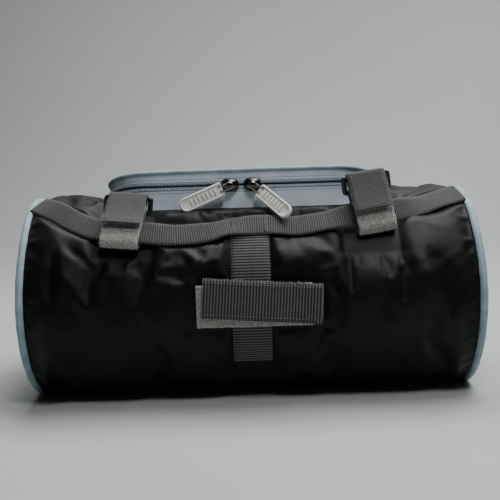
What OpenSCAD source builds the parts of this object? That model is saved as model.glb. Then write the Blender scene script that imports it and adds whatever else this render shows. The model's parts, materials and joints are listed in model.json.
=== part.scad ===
// Barrel-shaped zip-up roll bag: a padded tube with a boxed zip lid on top, a webbing strap
// along the front that carries two hook-and-loop cinch straps, a hook-and-loop tether in the
// middle, and a webbing handle on each end.
// Frame: X runs along the barrel, -Y is the strapped front, +Z is up. The origin is on the
// flattened underside, below the middle of the barrel's axis.

/* [Barrel] */
// Length of the barrel's skin, between the end pipings
barrel_len = 286; // [280:1:292]
// Outer radius of the barrel
barrel_r = 66; // [65.5:0.5:66.5]
// Height of the barrel's axis above its flattened underside
axis_h = 62; // [61:0.5:63]
// Thickness of the outer nylon with its backing
skin_t = 1.2; // [1:0.1:1.4]
// Thickness of the foam padding
foam_t = 2.5; // [2:0.1:3]
// Thickness of the lining
lining_t = 0.8; // [0.6:0.1:1]
// Radius of the piping around each end
piping_r = 2.6; // [2.2:0.1:2.8]

/* [Lid] */
// Width of the lid along the barrel
lid_w = 184; // [176:1:190]
// Where the middle of the lid lies along the barrel
lid_x = -5; // [-8:1:8]
// Front face of the lid's wall
lid_front = -22.6; // [-24:0.1:-21]
// Back face of the lid's wall, where it hinges
lid_back = 44; // [42:0.5:46]
// Corner radius of the lid seen from above
lid_corner = 28; // [24:1:30]
// Height of the zip above the barrel's axis, at the front
split_front = 77; // [76:0.5:78]
// Height of the zip's plane above the barrel's axis, at the hinge
split_back = 57; // [56.5:0.5:58]
// Height of the lid's top edge above the barrel's axis, at the front
top_front = 85; // [84.5:0.5:88]
// Height of the lid's top edge above the barrel's axis, at the back
top_back = 65; // [64.5:0.5:67]
// How far back the zip runs before the plain fabric at the hinge starts
zip_end = 30; // [28:1:32]

/* [Zip] */
// Thickness of the zip tape
tape_t = 1.2; // [1:0.1:1.4]
// Half of the gap between the two tapes
zip_gap = 0.45; // [0.4:0.05:0.6]
// Height of one row of the zip coil
coil_h = 2.3; // [2:0.1:2.6]
// Thickness of the zip coil
coil_t = 1.6; // [1.4:0.1:1.8]
// Length of each slider along the zip
slider_len = 10.5; // [9:0.5:12]
// Length of the moulded pull tabs
tab_len = 31; // [28:1:33]
// Width of the moulded pull tabs
tab_w = 9.6; // [9:0.1:11]
// Thickness of the moulded pull tabs
tab_t = 3.2; // [3:0.1:3.6]

/* [Webbing] */
// Width of the long front webbing
front_web_w = 16; // [14:1:17]
// Thickness of all the webbing
web_t = 1.4; // [1.2:0.1:1.4]
// Width of the cinch straps, of the middle webbing and of the end handles
strap_w = 25; // [24:0.5:25.5]
// Length of the middle tether's top layer
tether_len = 73; // [60:1:76]
// How far the end handles bow out
handle_bow = 9; // [7:0.5:10]

/* [Hidden] */

$fn = 96;
big = 500;
nylon = "#1c1d20";
grey_web = "#5c605f";
pale_blue = "#9fb4bf";

// Radii of the layers, from the outside in
foam_r = barrel_r - skin_t;
lining_r = foam_r - foam_t;
cavity_r = lining_r - lining_t;

// ---------- shared shapes ----------

// A tube end seen along X: a circle whose bottom is cut flat at height low
module flat_disc(r, low) {
    intersection() {
        circle(r);
        translate([-big / 2, low - axis_h]) square(big);
    }
}

// A slice of the barrel's cross section from x = from, len long
module barrel_slice(r, low, from, len) {
    translate([from, 0, axis_h]) rotate([90, 0, 90]) linear_extrude(len) flat_disc(r, low);
}

// A rectangle in plan with rounded corners
module rounded(w, d, r) {
    square([w - 2 * r, d], center = true);
    square([w, d - 2 * r], center = true);
    for (sx = [-1, 1], sy = [-1, 1])
        translate([sx * (w / 2 - r), sy * (d / 2 - r)]) circle(r);
}

// The lid's outline from above, shrunk by inset
module lid_outline(inset) {
    translate([lid_x, (lid_front + lid_back) / 2])
        rounded(lid_w - 2 * inset, lid_back - lid_front - 2 * inset, lid_corner - inset);
}

module lid_prism(inset) {
    translate([0, 0, axis_h]) linear_extrude(120) lid_outline(inset);
}

// Everything above a plane that slopes from z_front at the lid's front to z_back at its back
module above_slope(z_front, z_back) {
    depth = lid_back - lid_front;
    translate([-big / 2, lid_back, axis_h + z_back])
        rotate([-atan2(z_front - z_back, depth), 0, 0])
            translate([0, -big / 2, 0]) cube([big, big, big]);
}

module above_zip(rise) above_slope(split_front + rise, split_back + rise);
module above_top(rise) above_slope(top_front + rise, top_back + rise);

// The stretch where the zip runs, in front of its two ends
module zip_side() {
    translate([-big / 2, zip_end - big, 0]) cube([big, big, big]);
}

// Wall of the lid's box between two insets
module lid_wall(outer, inner) {
    difference() {
        lid_prism(outer);
        lid_prism(inner);
    }
}

// Places its children on the barrel, theta degrees up from the front: local Y runs up the
// barrel's surface and local Z points away from it
module on_barrel(x, theta, lift = 0) {
    translate([x, 0, axis_h]) rotate([90 - theta, 0, 0]) translate([0, 0, barrel_r + lift])
        children();
}

// A closed skin through equal rings of points
module loft(rings, loop = false) {
    count = len(rings);
    side = len(rings[0]);
    last = loop ? count - 1 : count - 2;
    points = [for (ring = rings) for (p = ring) p];
    walls = [for (i = [0:last]) for (j = [0:side - 1])
        let (a = i * side + j, b = i * side + (j + 1) % side,
             c = ((i + 1) % count) * side + (j + 1) % side, d = ((i + 1) % count) * side + j)
        each [[a, b, c], [a, c, d]]];
    caps = loop ? [] : [[for (j = [side - 1:-1:0]) j],
                        [for (j = [0:side - 1]) (count - 1) * side + j]];
    polyhedron(points, concat(walls, caps), convexity = 6);
}

// One point of a smooth curve through p1 and p2, at t from 0 to 1
function spline(p0, p1, p2, p3, t) =
    0.5 * (2 * p1 + (p2 - p0) * t + (2 * p0 - 5 * p1 + 4 * p2 - p3) * t * t
           + (3 * p1 - p0 - 3 * p2 + p3) * t * t * t);

function route(points, steps) =
    let (n = len(points))
    [for (i = [0:n - 2]) for (s = [0:steps - 1])
        spline(points[max(i - 1, 0)], points[i], points[i + 1], points[min(i + 2, n - 1)], s / steps),
     points[n - 1]];

// ---------- barrel ----------

module barrel_layer(r_out, low_out, r_in, low_in) {
    difference() {
        barrel_slice(r_out, low_out, -barrel_len / 2, barrel_len);
        barrel_slice(r_in, low_in, -barrel_len / 2 - 1, barrel_len + 2);
        lid_prism(0);
    }
}

module barrel_skin() color(nylon) barrel_layer(barrel_r, 0, foam_r, skin_t);
module barrel_foam() color("#777777") barrel_layer(foam_r, skin_t, lining_r, skin_t + foam_t);
module barrel_lining()
    color("#3a3d40") barrel_layer(lining_r, skin_t + foam_t, cavity_r, skin_t + foam_t + lining_t);

// ---------- ends ----------

panel_t = 1.2;
end_foam_t = 3;
binding_w = 4;
piping_run = barrel_r - 0.6;
end_x = barrel_len / 2;

// Places its children on the left end (side -1) or the right end (side 1)
module at_end(side) {
    if (side < 0) mirror([1, 0, 0]) children();
    else children();
}

module end_panel(side)
    color(nylon) at_end(side) barrel_slice(piping_run - piping_r - 0.05, 2 * piping_r, end_x, panel_t);

module end_foam(side)
    color("#777777") at_end(side)
        barrel_slice(cavity_r, skin_t + foam_t + lining_t, end_x - end_foam_t, end_foam_t);

module end_lining(side)
    color("#3a3d40") at_end(side)
        barrel_slice(cavity_r, skin_t + foam_t + lining_t,
                     end_x - end_foam_t - lining_t, lining_t);

module seam_binding(side) {
    low = skin_t + foam_t + lining_t;
    color("#26282b") at_end(side) difference() {
        barrel_slice(cavity_r, low, end_x - end_foam_t - 2 * lining_t, lining_t);
        barrel_slice(cavity_r - binding_w, low + binding_w, end_x - big / 2, big);
    }
}

// Angle, up from the bottom, at which the piping's round part meets its flat bottom
piping_low = axis_h - piping_r;
flat_turn = acos(piping_low / piping_run);
piping_steps = 72;
piping_path = [for (i = [0:piping_steps - 1])
    let (a = flat_turn + (360 - 2 * flat_turn) * i / (piping_steps - 1))
    [-piping_run * sin(a), axis_h - piping_run * cos(a), a]];

module end_piping(side) {
    sides = 10;
    rings = [for (p = piping_path) [for (k = [0:sides - 1])
        let (t = 360 * (k + 0.5) / sides, out = piping_r * cos(t))
        [end_x + piping_r + piping_r * sin(t), p[0] - out * sin(p[2]), p[1] - out * cos(p[2])]]];
    color(pale_blue) at_end(side) loft(rings, loop = true);
}

handle_half = 48;
handle_mid = 6;
handle_foot = 7;

module end_handle(side) {
    bow_r = (handle_half * handle_half + handle_bow * handle_bow) / (2 * handle_bow);
    foot_x = end_x + panel_t;
    color(grey_web) at_end(side) translate([foot_x, strap_w / 2, axis_h + handle_mid]) {
        rotate([90, 0, 0]) linear_extrude(strap_w) intersection() {
            difference() {
                translate([handle_bow - bow_r, 0]) circle(bow_r, $fn = 240);
                translate([handle_bow - bow_r, 0]) circle(bow_r - web_t, $fn = 240);
            }
            translate([0, -handle_half]) square([big, 2 * handle_half]);
        }
        for (up = [-1, 1])
            translate([0, -strap_w, up > 0 ? handle_half - handle_foot : -handle_half])
                cube([web_t, strap_w, handle_foot]);
    }
}

// ---------- zip and lid ----------

module zip_tape_lower() color(pale_blue) difference() {
    intersection() {
        lid_wall(0, tape_t);
        zip_side();
    }
    barrel_slice(cavity_r, 0, -big / 2, big);
    above_zip(-zip_gap);
}

module back_gusset() color(nylon) difference() {
    lid_wall(0, tape_t);
    zip_side();
    barrel_slice(cavity_r, 0, -big / 2, big);
    above_zip(-0.15);
}

module zip_coil_lower() color("#c9d3d8") difference() {
    intersection() {
        lid_wall(tape_t, tape_t + coil_t);
        zip_side();
        above_zip(-zip_gap - coil_h);
    }
    above_zip(-zip_gap);
}

module mouth_binding() {
    inner = 7;
    color("#26282b") intersection() {
        difference() {
            barrel_slice(cavity_r, 0, -big / 2, big);
            barrel_slice(cavity_r - lining_t, 0, -big, 2 * big);
        }
        difference() {
            lid_prism(-inner);
            lid_prism(0);
        }
    }
}

// Tabs that close off the ends of the zip, inside the mouth
module zip_end_tabs() {
    tab_d = 8;
    tab_t = 1.2;
    inset = tape_t + coil_t;
    color(nylon) difference() {
        intersection() {
            lid_wall(inset, inset + tab_t);
            translate([-big / 2, zip_end - tab_d, 0]) cube([big, tab_d, big]);
        }
        barrel_slice(cavity_r, 0, -big / 2, big);
        above_zip(-0.8);
    }
}

module zip_tape_upper() color(pale_blue) difference() {
    intersection() {
        lid_wall(0, tape_t);
        zip_side();
        above_zip(zip_gap);
    }
    above_top(0);
}

module lid_back_gusset() color(nylon) difference() {
    intersection() {
        lid_wall(0, tape_t);
        above_zip(0.15);
    }
    zip_side();
    above_top(0);
}

module zip_coil_upper() color("#c9d3d8") difference() {
    intersection() {
        lid_wall(tape_t, tape_t + coil_t);
        zip_side();
        above_zip(zip_gap);
    }
    above_zip(zip_gap + coil_h);
}

// One layer of the lid's top between two depths below its top edge
module lid_layer(low, high) {
    difference() {
        intersection() {
            lid_prism(tape_t);
            above_top(low);
        }
        above_top(high);
    }
}

module lid_panel() color(nylon) lid_layer(-skin_t, 0);
module lid_foam() color("#777777") lid_layer(-skin_t - foam_t, -skin_t);
module lid_lining() color("#3a3d40") lid_layer(-skin_t - foam_t - lining_t, -skin_t - foam_t);

lid_piping_r = 1.5;

// The lid's outline as points, each with the direction that faces outwards
function lid_edge(steps) =
    let (cx = lid_w / 2 - lid_corner, cy = (lid_back - lid_front) / 2 - lid_corner,
         my = (lid_front + lid_back) / 2)
    [for (q = [0:3]) for (s = [0:steps])
        let (a = 90 * q + 90 * s / steps,
             sx = (q == 0 || q == 3) ? 1 : -1, sy = q < 2 ? 1 : -1)
        [lid_x + sx * cx + lid_corner * cos(a), my + sy * cy + lid_corner * sin(a), a]];

module lid_piping() {
    sides = 8;
    fall = (top_front - top_back) / (lid_back - lid_front);
    rings = [for (p = lid_edge(14)) [for (k = [0:sides - 1])
        let (t = -360 * (k + 0.5) / sides, out = lid_piping_r * cos(t) - lid_piping_r / 2,
             y = p[1] + out * sin(p[2]))
        [p[0] + out * cos(p[2]), y,
         axis_h + top_back + (lid_back - y) * fall + lid_piping_r * (1 + sin(t)) + 0.05]]];
    color(pale_blue) loft(rings, loop = true);
}

// ---------- sliders and pulls ----------

clear = 0.3;
slider_w = 8.4;
plate_t = 1.2;
dome_r = 4.6;
dome_h = 2;
post_r = 1;
wire = 1;
bail_out = clear + plate_t + dome_h + 0.8;
bail_in = 1.5;
bail_reach = 7.3;
pull_hole_r = 0.9;
slider_xs = [lid_x - 7, lid_x + 8];
// Angle of each pull below the zip, and how far its tab leans out from the bag
pull_drop = [22, 40];
pull_lean = [14, 40];

// Local frame of one slider: Z points away from the bag and Y points up
module at_slider(i) {
    translate([slider_xs[i], lid_front, axis_h + split_front]) rotate([90, 0, 0]) children();
}

// Local frame of one pull: X runs from the slider's post out along the pull
module at_pull(i) {
    at_slider(i) {
        if (i == 0) mirror([1, 0, 0]) rotate([0, 0, -pull_drop[0]]) children();
        else rotate([0, 0, -pull_drop[1]]) children();
    }
}

module slider(i) {
    ball = (dome_r * dome_r + dome_h * dome_h) / (2 * dome_h);
    deep = tape_t + coil_t + clear;
    slope = atan2(split_front - split_back, lid_back - lid_front);
    color("#3c3d42") at_slider(i) {
        translate([0, 0, clear]) linear_extrude(plate_t) rounded(slider_len, slider_w, 2);
        intersection() {
            translate([0, 0, clear + plate_t + dome_h - ball]) sphere(ball);
            translate([0, 0, clear + plate_t - 0.1]) cylinder(r = dome_r + 1, h = dome_h + 1);
        }
        translate([0, 0, clear + plate_t]) cylinder(r = post_r, h = dome_h + 2 * wire + 0.6);
        translate([0, 0, bail_out + wire / 2 + 0.2]) cylinder(r = 1.9, h = 0.7);
        // The neck that joins the outer plate to the inner one, along the sloping gap in the zip
        rotate([-slope, 0, 0]) translate([-1.5, -0.2, -deep / cos(slope) - 0.6])
            cube([3, 0.4, deep / cos(slope) + clear + 0.8]);
        translate([-slider_len / 2, -slider_w / 2, -deep - 0.9])
            cube([slider_len, slider_w / 2 + 0.1 - deep * tan(slope), 0.9]);
    }
}

module bail(i) {
    near = -1.4;
    color("#8a8a8a") at_pull(i) translate([0, 0, bail_out - wire / 2]) linear_extrude(wire)
        difference() {
            translate([near - wire, -bail_in - wire])
                square([bail_reach + wire / 2 - near + wire, 2 * (bail_in + wire)]);
            translate([near, -bail_in]) square([bail_reach - wire / 2 - near, 2 * bail_in]);
        }
}

module pull_tab(i) {
    end_gap = 1.7;
    slot_w = wire + 0.6;
    ribs = 5;
    color("#dcdcd4") at_pull(i) translate([bail_reach, 0, bail_out]) rotate([0, -pull_lean[i], 0]) {
        difference() {
            translate([-end_gap, 0, -tab_t / 2]) linear_extrude(tab_t) {
                translate([0, -tab_w / 2]) square([tab_len - tab_w / 2, tab_w]);
                translate([tab_len - tab_w / 2, 0]) circle(tab_w / 2);
            }
            for (s = [-1, 1])
                translate([-end_gap - 1, s * (bail_in + wire / 2) - slot_w / 2, -tab_t])
                    cube([end_gap + 1 + pull_hole_r, slot_w, 2 * tab_t]);
            rotate([90, 0, 0]) cylinder(r = pull_hole_r, h = 2 * bail_in + 2, center = true);
        }
        for (k = [0:ribs - 1])
            translate([5 + k * 3.6, -tab_w / 2 + 2, tab_t / 2 - 0.1]) cube([1.4, tab_w - 4, 0.5]);
    }
}

// ---------- front webbing ----------

// Where the cinch straps sit: x, and angle up from the front
cinch_x = [-81, 80];
cinch_theta = [45, 51];
// How far the webbing stands off the barrel inside each cinch strap
cinch_lift = [5.3, 7.3];
// How far each strap stands up from the barrel, and how far it leans towards the middle
cinch_pitch = [0, 23];
cinch_lean = [-7, 9];

// The webbing's slack run: x, angle up from the front, height above the skin, twist
web_route = [
    [-141, 71, 1, 0], [-128, 64, 1, 0], [-112, 54, 2.5, 2], [-96, 47, 4.8, 1],
    [-81, 45, 5.3, 0], [-66, 44, 4.8, 0], [-48, 43.5, 2.5, 1], [-28, 45.5, 1.2, 0],
    [-14, 48, 2.4, 0], [0, 49, 2.4, 0], [14, 49, 2.4, 0], [30, 48.5, 1.2, 0],
    [46, 49, 3.5, 8], [64, 50, 6.9, 21], [80, 51, 7.3, 23], [96, 54, 6.6, 20],
    [112, 59, 3, 8], [128, 65, 1, 0], [141, 70, 1, 0]
];

// Corner of the webbing's section, across its width and through its thickness
function web_corner(p, across, through) =
    let (r = barrel_r + p[2], y = across * cos(p[3]) - through * sin(p[3]),
         z = r + across * sin(p[3]) + through * cos(p[3]))
    [p[0], y * sin(p[1]) - z * cos(p[1]), axis_h + y * cos(p[1]) + z * sin(p[1])];

module front_webbing() {
    half = front_web_w / 2;
    rings = [for (p = route(web_route, 4)) [
        web_corner(p, -half, -web_t / 2), web_corner(p, -half, web_t / 2),
        web_corner(p, half, web_t / 2), web_corner(p, half, -web_t / 2)]];
    color(grey_web) loft(rings);
}

middle_top = 56;
middle_bottom = -31;

module middle_webbing() {
    out = barrel_r + 0.1;
    color(grey_web) translate([-strap_w / 2, 0, axis_h]) rotate([90, 0, 90])
        linear_extrude(strap_w) intersection() {
            difference() {
                circle(out + web_t, $fn = 180);
                circle(out, $fn = 180);
            }
            polygon([[0, 0], 2 * barrel_r * [-cos(middle_bottom), sin(middle_bottom)],
                     2 * barrel_r * [-1.4, 0.2],
                     2 * barrel_r * [-cos(middle_top), sin(middle_top)]]);
        }
}

module bar_tacks() {
    tack = [1.6, 13, 0.5];
    top = 2.4 + web_t / 2 - 0.1;
    color("#3b3e3e") for (s = [-1, 1])
        on_barrel(s * 10, 48.7, top) translate([-tack[0] / 2, -tack[1] / 2, 0]) cube(tack);
}

// ---------- hook-and-loop cinch straps ----------

web_room = 2.3;
turn_low = -8.4;
ring_low = [16.5, -0.85];
ring_high = [25.5, web_room + web_t + 1.45];
bar_room = 1.45;
bar = 2;
pile_t = 1.4;
flap_in = ring_high[1] + bar_room;
flap_end = 0;
hinge_gap = 1.1;

// Local frame of one cinch strap: X along the webbing, Y up the strap, Z away from the bag,
// with its origin in the middle of the webbing that it hangs on
module at_cinch(i) {
    on_barrel(cinch_x[i], cinch_theta[i], cinch_lift[i])
        rotate([cinch_pitch[i], 0, 0]) rotate([0, 0, cinch_lean[i]]) children();
}

// Extrudes a side view of a strap, drawn as [up, out], across the strap's width
module across_strap(w = strap_w) {
    rotate([90, 0, 90]) translate([0, 0, -w / 2]) linear_extrude(w) children();
}

module half_turn(r, t) {
    difference() {
        circle(r + t, $fn = 48);
        circle(r, $fn = 48);
        translate([-big, -big / 2]) square(big);
    }
}

module cinch_web(i) {
    front = web_room;
    sewn_end = 8.8;
    sewn_out = ring_low[1] + bar_room;
    color(grey_web) at_cinch(i) across_strap() {
        translate([turn_low, -front - web_t]) square([ring_low[0] - turn_low, web_t]);
        translate([turn_low, front]) square([ring_high[0] - turn_low, web_t]);
        translate([turn_low, 0]) mirror([1, 0]) half_turn(web_room, web_t);
        translate(ring_low) half_turn(bar_room, web_t);
        // The end of the strip comes back from the ring and is sewn down onto itself
        polygon([[ring_low[0], sewn_out], [ring_low[0], sewn_out + web_t],
                 [sewn_end + web_t, web_t - front], [sewn_end, -front - 0.2],
                 [sewn_end + 2 * web_t, -front - 0.2]]);
        translate(ring_high) half_turn(bar_room, web_t);
    }
}

module cinch_loop(i) {
    out = web_room + web_t;
    color("#b9bab6") at_cinch(i) across_strap(strap_w - 1) {
        translate([turn_low, out]) square([19 - turn_low, pile_t]);
        intersection() {
            translate([turn_low, 0]) mirror([1, 0]) half_turn(out, pile_t);
            translate([turn_low - big, 0]) square(big);
        }
    }
}

module cinch_ring(i) {
    rise = ring_high - ring_low;
    reach = norm(rise);
    side_bar = 3.2;
    slot = strap_w + 1;
    color("#151515") at_cinch(i) translate([0, ring_low[0], ring_low[1]])
        rotate([atan2(rise[1], rise[0]), 0, 0]) translate([0, reach / 2, -bar / 2])
            linear_extrude(bar) difference() {
                rounded(slot + 2 * side_bar, reach + bar, 2.5);
                square([slot, reach - bar], center = true);
            }
}

module cinch_flap(i) {
    color(grey_web) at_cinch(i) across_strap()
        translate([flap_end, flap_in]) square([ring_high[0] - hinge_gap - flap_end, web_t]);
}

module cinch_hook(i) {
    color("#4a4d4d") at_cinch(i) across_strap(strap_w - 2)
        translate([flap_end + 1, flap_in - pile_t]) square([14, pile_t]);
}

// ---------- middle tether ----------

tether_theta = 3;
tether_lift = 1.75;
tether_fold = 42;
tether_base_len = 76.5;
tether_tilt = -4.5;
tether_turn = 1.35;
tether_web_t = 1.3;
tether_pile_t = 1.3;
flap_low = tether_web_t + 2 * tether_turn;

// Local frame of the tether: X along the barrel from its fold, Z away from the bag
module at_tether() {
    on_barrel(tether_fold, tether_theta, tether_lift) children();
}

// Extrudes a plan view of the tether, drawn as [along, out], across its width
module across_tether(w = strap_w) {
    translate([0, w / 2, 0]) rotate([90, 0, 0]) linear_extrude(w) children();
}

module tether_base() color(grey_web) at_tether() across_tether() {
    translate([-tether_base_len, 0]) square([tether_base_len, tether_web_t]);
    translate([0, tether_web_t + tether_turn]) half_turn(tether_turn, tether_web_t);
}

module tether_loop() color("#b9bab6") at_tether() across_tether(strap_w - 1)
    translate([-tether_base_len, tether_web_t]) square([tether_base_len - 4, tether_pile_t]);

module tether_flap() color(grey_web) at_tether() rotate([0, 0, tether_tilt]) across_tether()
    translate([-tether_len, flap_low]) square([tether_len - hinge_gap, tether_web_t]);

module tether_hook() color("#4a4d4d") at_tether() rotate([0, 0, tether_tilt])
    across_tether(strap_w - 3) translate([1 - tether_len, flap_low - tether_pile_t])
        square([40, tether_pile_t]);

// ---------- nodes ----------

barrel_skin();
barrel_foam();
barrel_lining();
end_panel(-1);  // end_panel_left
end_panel(1);  // end_panel_right
end_foam(-1);  // end_foam_left
end_foam(1);  // end_foam_right
end_lining(-1);  // end_lining_left
end_lining(1);  // end_lining_right
end_piping(-1);  // end_piping_left
end_piping(1);  // end_piping_right
seam_binding(-1);  // seam_binding_left
seam_binding(1);  // seam_binding_right
end_handle(-1);  // end_handle_left
end_handle(1);  // end_handle_right
zip_tape_lower();
zip_coil_lower();
back_gusset();
mouth_binding();
zip_end_tabs();
lid_panel();
lid_foam();
lid_lining();
lid_piping();
zip_tape_upper();
zip_coil_upper();
lid_back_gusset();
slider(0);  // slider_left
bail(0);  // bail_left
pull_tab(0);  // pull_tab_left
slider(1);  // slider_right
bail(1);  // bail_right
pull_tab(1);  // pull_tab_right
front_webbing();
middle_webbing();
bar_tacks();
cinch_web(0);  // cinch_web_left
cinch_loop(0);  // cinch_loop_left
cinch_ring(0);  // cinch_ring_left
cinch_flap(0);  // cinch_flap_left
cinch_hook(0);  // cinch_hook_left
cinch_web(1);  // cinch_web_right
cinch_loop(1);  // cinch_loop_right
cinch_ring(1);  // cinch_ring_right
cinch_flap(1);  // cinch_flap_right
cinch_hook(1);  // cinch_hook_right
tether_base();
tether_loop();
tether_flap();
tether_hook();
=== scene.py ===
import json
import math

import bmesh
import bpy
import numpy as np
from mathutils import Matrix, Vector

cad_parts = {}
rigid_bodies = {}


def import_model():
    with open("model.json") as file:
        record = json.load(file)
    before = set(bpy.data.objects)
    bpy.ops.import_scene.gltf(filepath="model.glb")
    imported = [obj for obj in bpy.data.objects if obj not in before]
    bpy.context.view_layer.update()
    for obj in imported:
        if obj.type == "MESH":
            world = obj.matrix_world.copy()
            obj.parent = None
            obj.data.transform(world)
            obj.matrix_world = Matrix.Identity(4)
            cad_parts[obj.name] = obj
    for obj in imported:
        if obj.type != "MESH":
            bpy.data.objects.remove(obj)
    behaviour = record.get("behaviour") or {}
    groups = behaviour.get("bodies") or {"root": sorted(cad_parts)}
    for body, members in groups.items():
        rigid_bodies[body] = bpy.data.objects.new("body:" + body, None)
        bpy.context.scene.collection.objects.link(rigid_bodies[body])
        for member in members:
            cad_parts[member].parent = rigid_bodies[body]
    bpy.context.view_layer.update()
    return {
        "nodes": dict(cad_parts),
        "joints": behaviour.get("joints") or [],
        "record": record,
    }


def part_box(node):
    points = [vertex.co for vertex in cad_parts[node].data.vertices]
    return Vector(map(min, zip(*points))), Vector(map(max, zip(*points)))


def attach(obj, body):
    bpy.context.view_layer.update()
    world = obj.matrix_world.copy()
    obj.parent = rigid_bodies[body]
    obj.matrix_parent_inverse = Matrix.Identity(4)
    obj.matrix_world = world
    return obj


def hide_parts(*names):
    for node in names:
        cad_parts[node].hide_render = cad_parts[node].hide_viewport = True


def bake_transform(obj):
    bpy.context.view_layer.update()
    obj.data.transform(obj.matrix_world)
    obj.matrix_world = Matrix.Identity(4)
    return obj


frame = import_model()

# Lengths in this file are in millimetres; meshes are scaled to metres as they are made.
MM = 0.001


# ---------- sizes, from the frame ----------

def box_mm(node):
    low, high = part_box(node)
    return np.array(low) / MM, np.array(high) / MM


def joint(name):
    return next(j for j in frame["joints"] if j["name"] == name)


def mount(name):
    return next(m for m in frame["record"]["mounts"] if m["name"] == name)


def unit(v):
    v = np.asarray(v, float)
    return v / np.linalg.norm(v, axis=-1, keepdims=True)


SKIN_HIGH = box_mm("barrel_skin")[1]
HALF_LEN = SKIN_HIGH[0]
RADIUS = SKIN_HIGH[1]
AXIS_Z = SKIN_HIGH[2] - RADIUS
SKIN_T = RADIUS - box_mm("barrel_foam")[1][1]
PIPE_HIGH = box_mm("end_piping_right")[1]
PIPE_R = (PIPE_HIGH[0] - HALF_LEN) / 2
PIPE_RUN = PIPE_HIGH[1] - PIPE_R

TAPE_LOW, TAPE_HIGH = box_mm("zip_tape_upper")
GUSSET_HIGH = box_mm("lid_back_gusset")[1]
LID_LEFT, LID_RIGHT = TAPE_LOW[0], TAPE_HIGH[0]
LID_FRONT, LID_BACK = TAPE_LOW[1], GUSSET_HIGH[1]
LID_TOP_FRONT = TAPE_HIGH[2]
HINGE_Z = joint("lid_hinge")["pos_m"][2] / MM
SPLIT_FRONT = joint("bail_left_swing")["pos_m"][2] / MM
LID_TOP_BACK = HINGE_Z + 8
LID_CORNER = 28
ZIP_END = TAPE_HIGH[1]
ZIP_GAP = 0.45
TAPE_T = 1.2

WEB_T = 1.4
STRAP_W = 25
FRONT_WEB_W = 16
CLOTH_T = 0.45
# The barrel's cloth may sink this far before the foam under it would show
DEEPEST = -0.6


def split_z(y):
    t = (LID_BACK - y) / (LID_BACK - LID_FRONT)
    return HINGE_Z + (SPLIT_FRONT - HINGE_Z) * t


def top_z(y, x=0.0):
    """Height of the lid's top edge, which arches a little and drops at its left end."""
    t = (LID_BACK - y) / (LID_BACK - LID_FRONT)
    arch = 0.6 * np.cos((x - 30) / 75) - 0.7 * np.clip((-58 - x) / 40, 0, 1) ** 2 - 0.05
    return LID_TOP_BACK + (LID_TOP_FRONT - LID_TOP_BACK) * t + arch


# ---------- mesh helpers ----------

def make(name, verts, faces, material, body=None, uvs=None, smooth=True):
    """A mesh object from points in millimetres; uvs holds one (u, v) per vertex, also in millimetres."""
    mesh = bpy.data.meshes.new(name)
    mesh.from_pydata((np.asarray(verts, float) * MM).tolist(), [], [list(map(int, f)) for f in faces])
    if uvs is not None:
        layer = mesh.uv_layers.new(name="mm")
        loops = np.empty(len(mesh.loops), int)
        mesh.loops.foreach_get("vertex_index", loops)
        layer.data.foreach_set("uv", np.asarray(uvs, float)[loops].astype(np.float32).ravel())
    mesh.polygons.foreach_set("use_smooth", [smooth] * len(mesh.polygons))
    mesh.update()
    obj = bpy.data.objects.new(name, mesh)
    bpy.context.scene.collection.objects.link(obj)
    outward(obj)
    obj.data.materials.append(material)
    if body:
        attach(obj, body)
    return obj


def outward(obj):
    bm = bmesh.new()
    bm.from_mesh(obj.data)
    bmesh.ops.recalc_face_normals(bm, faces=bm.faces)
    bm.to_mesh(obj.data)
    bm.free()


def grid_faces(rows, cols, wrap_rows=False, wrap_cols=False):
    faces = []
    for i in range(rows if wrap_rows else rows - 1):
        for j in range(cols if wrap_cols else cols - 1):
            i2, j2 = (i + 1) % rows, (j + 1) % cols
            faces.append((i * cols + j, i * cols + j2, i2 * cols + j2, i2 * cols + j))
    return faces


def capped_grid(rows, cols):
    """Faces of a tube of rows rings with cols points each, closed at both ends."""
    ends = [tuple(range(cols)), tuple(range((rows - 1) * cols, rows * cols))]
    return grid_faces(rows, cols, wrap_cols=True) + ends


def shell_faces(rings, count):
    """Faces of a flat cushion: two layers of closed rings round a middle point, joined at the rim."""
    per = count * rings + 1
    faces = []
    for off in (0, per):
        faces += [tuple(v + off for v in f) for f in grid_faces(rings, count, wrap_cols=True)]
        last = off + count * (rings - 1)
        faces += [(last + j, last + (j + 1) % count, off + per - 1) for j in range(count)]
    return faces + [(j, (j + 1) % count, per + (j + 1) % count, per + j) for j in range(count)]


def bake_modifiers(obj):
    """Applies the object's modifiers to its mesh."""
    graph = bpy.context.evaluated_depsgraph_get()
    mesh = bpy.data.meshes.new_from_object(obj.evaluated_get(graph))
    obj.modifiers.clear()
    obj.data = mesh
    return obj


def joined(name, chunks, material, body=None, smooth=True):
    """One mesh from a list of (verts, faces)."""
    verts, faces, base = [], [], 0
    for v, f in chunks:
        verts.append(np.asarray(v, float))
        faces += [tuple(int(k) + base for k in face) for face in f]
        base += len(v)
    return make(name, np.concatenate(verts), faces, material, body, smooth=smooth)


def ripple(p, seed, wave, octaves=3):
    """Smooth seeded noise of points p, about -1 to 1, with a main wavelength of wave millimetres."""
    rng = np.random.default_rng(seed)
    total, amp, norm = np.zeros(len(p)), 1.0, 0.0
    for _ in range(octaves):
        for _ in range(5):
            direction = unit(rng.normal(size=p.shape[1]))
            shift = rng.uniform(0, 2 * math.pi)
            stretch = rng.uniform(0.7, 1.4)
            total += amp * np.sin(p @ direction * 2 * math.pi / (wave * stretch) + shift)
        norm += amp * 5 ** 0.5 * 1.2
        amp *= 0.5
        wave *= 0.5
    return total / norm


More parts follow.
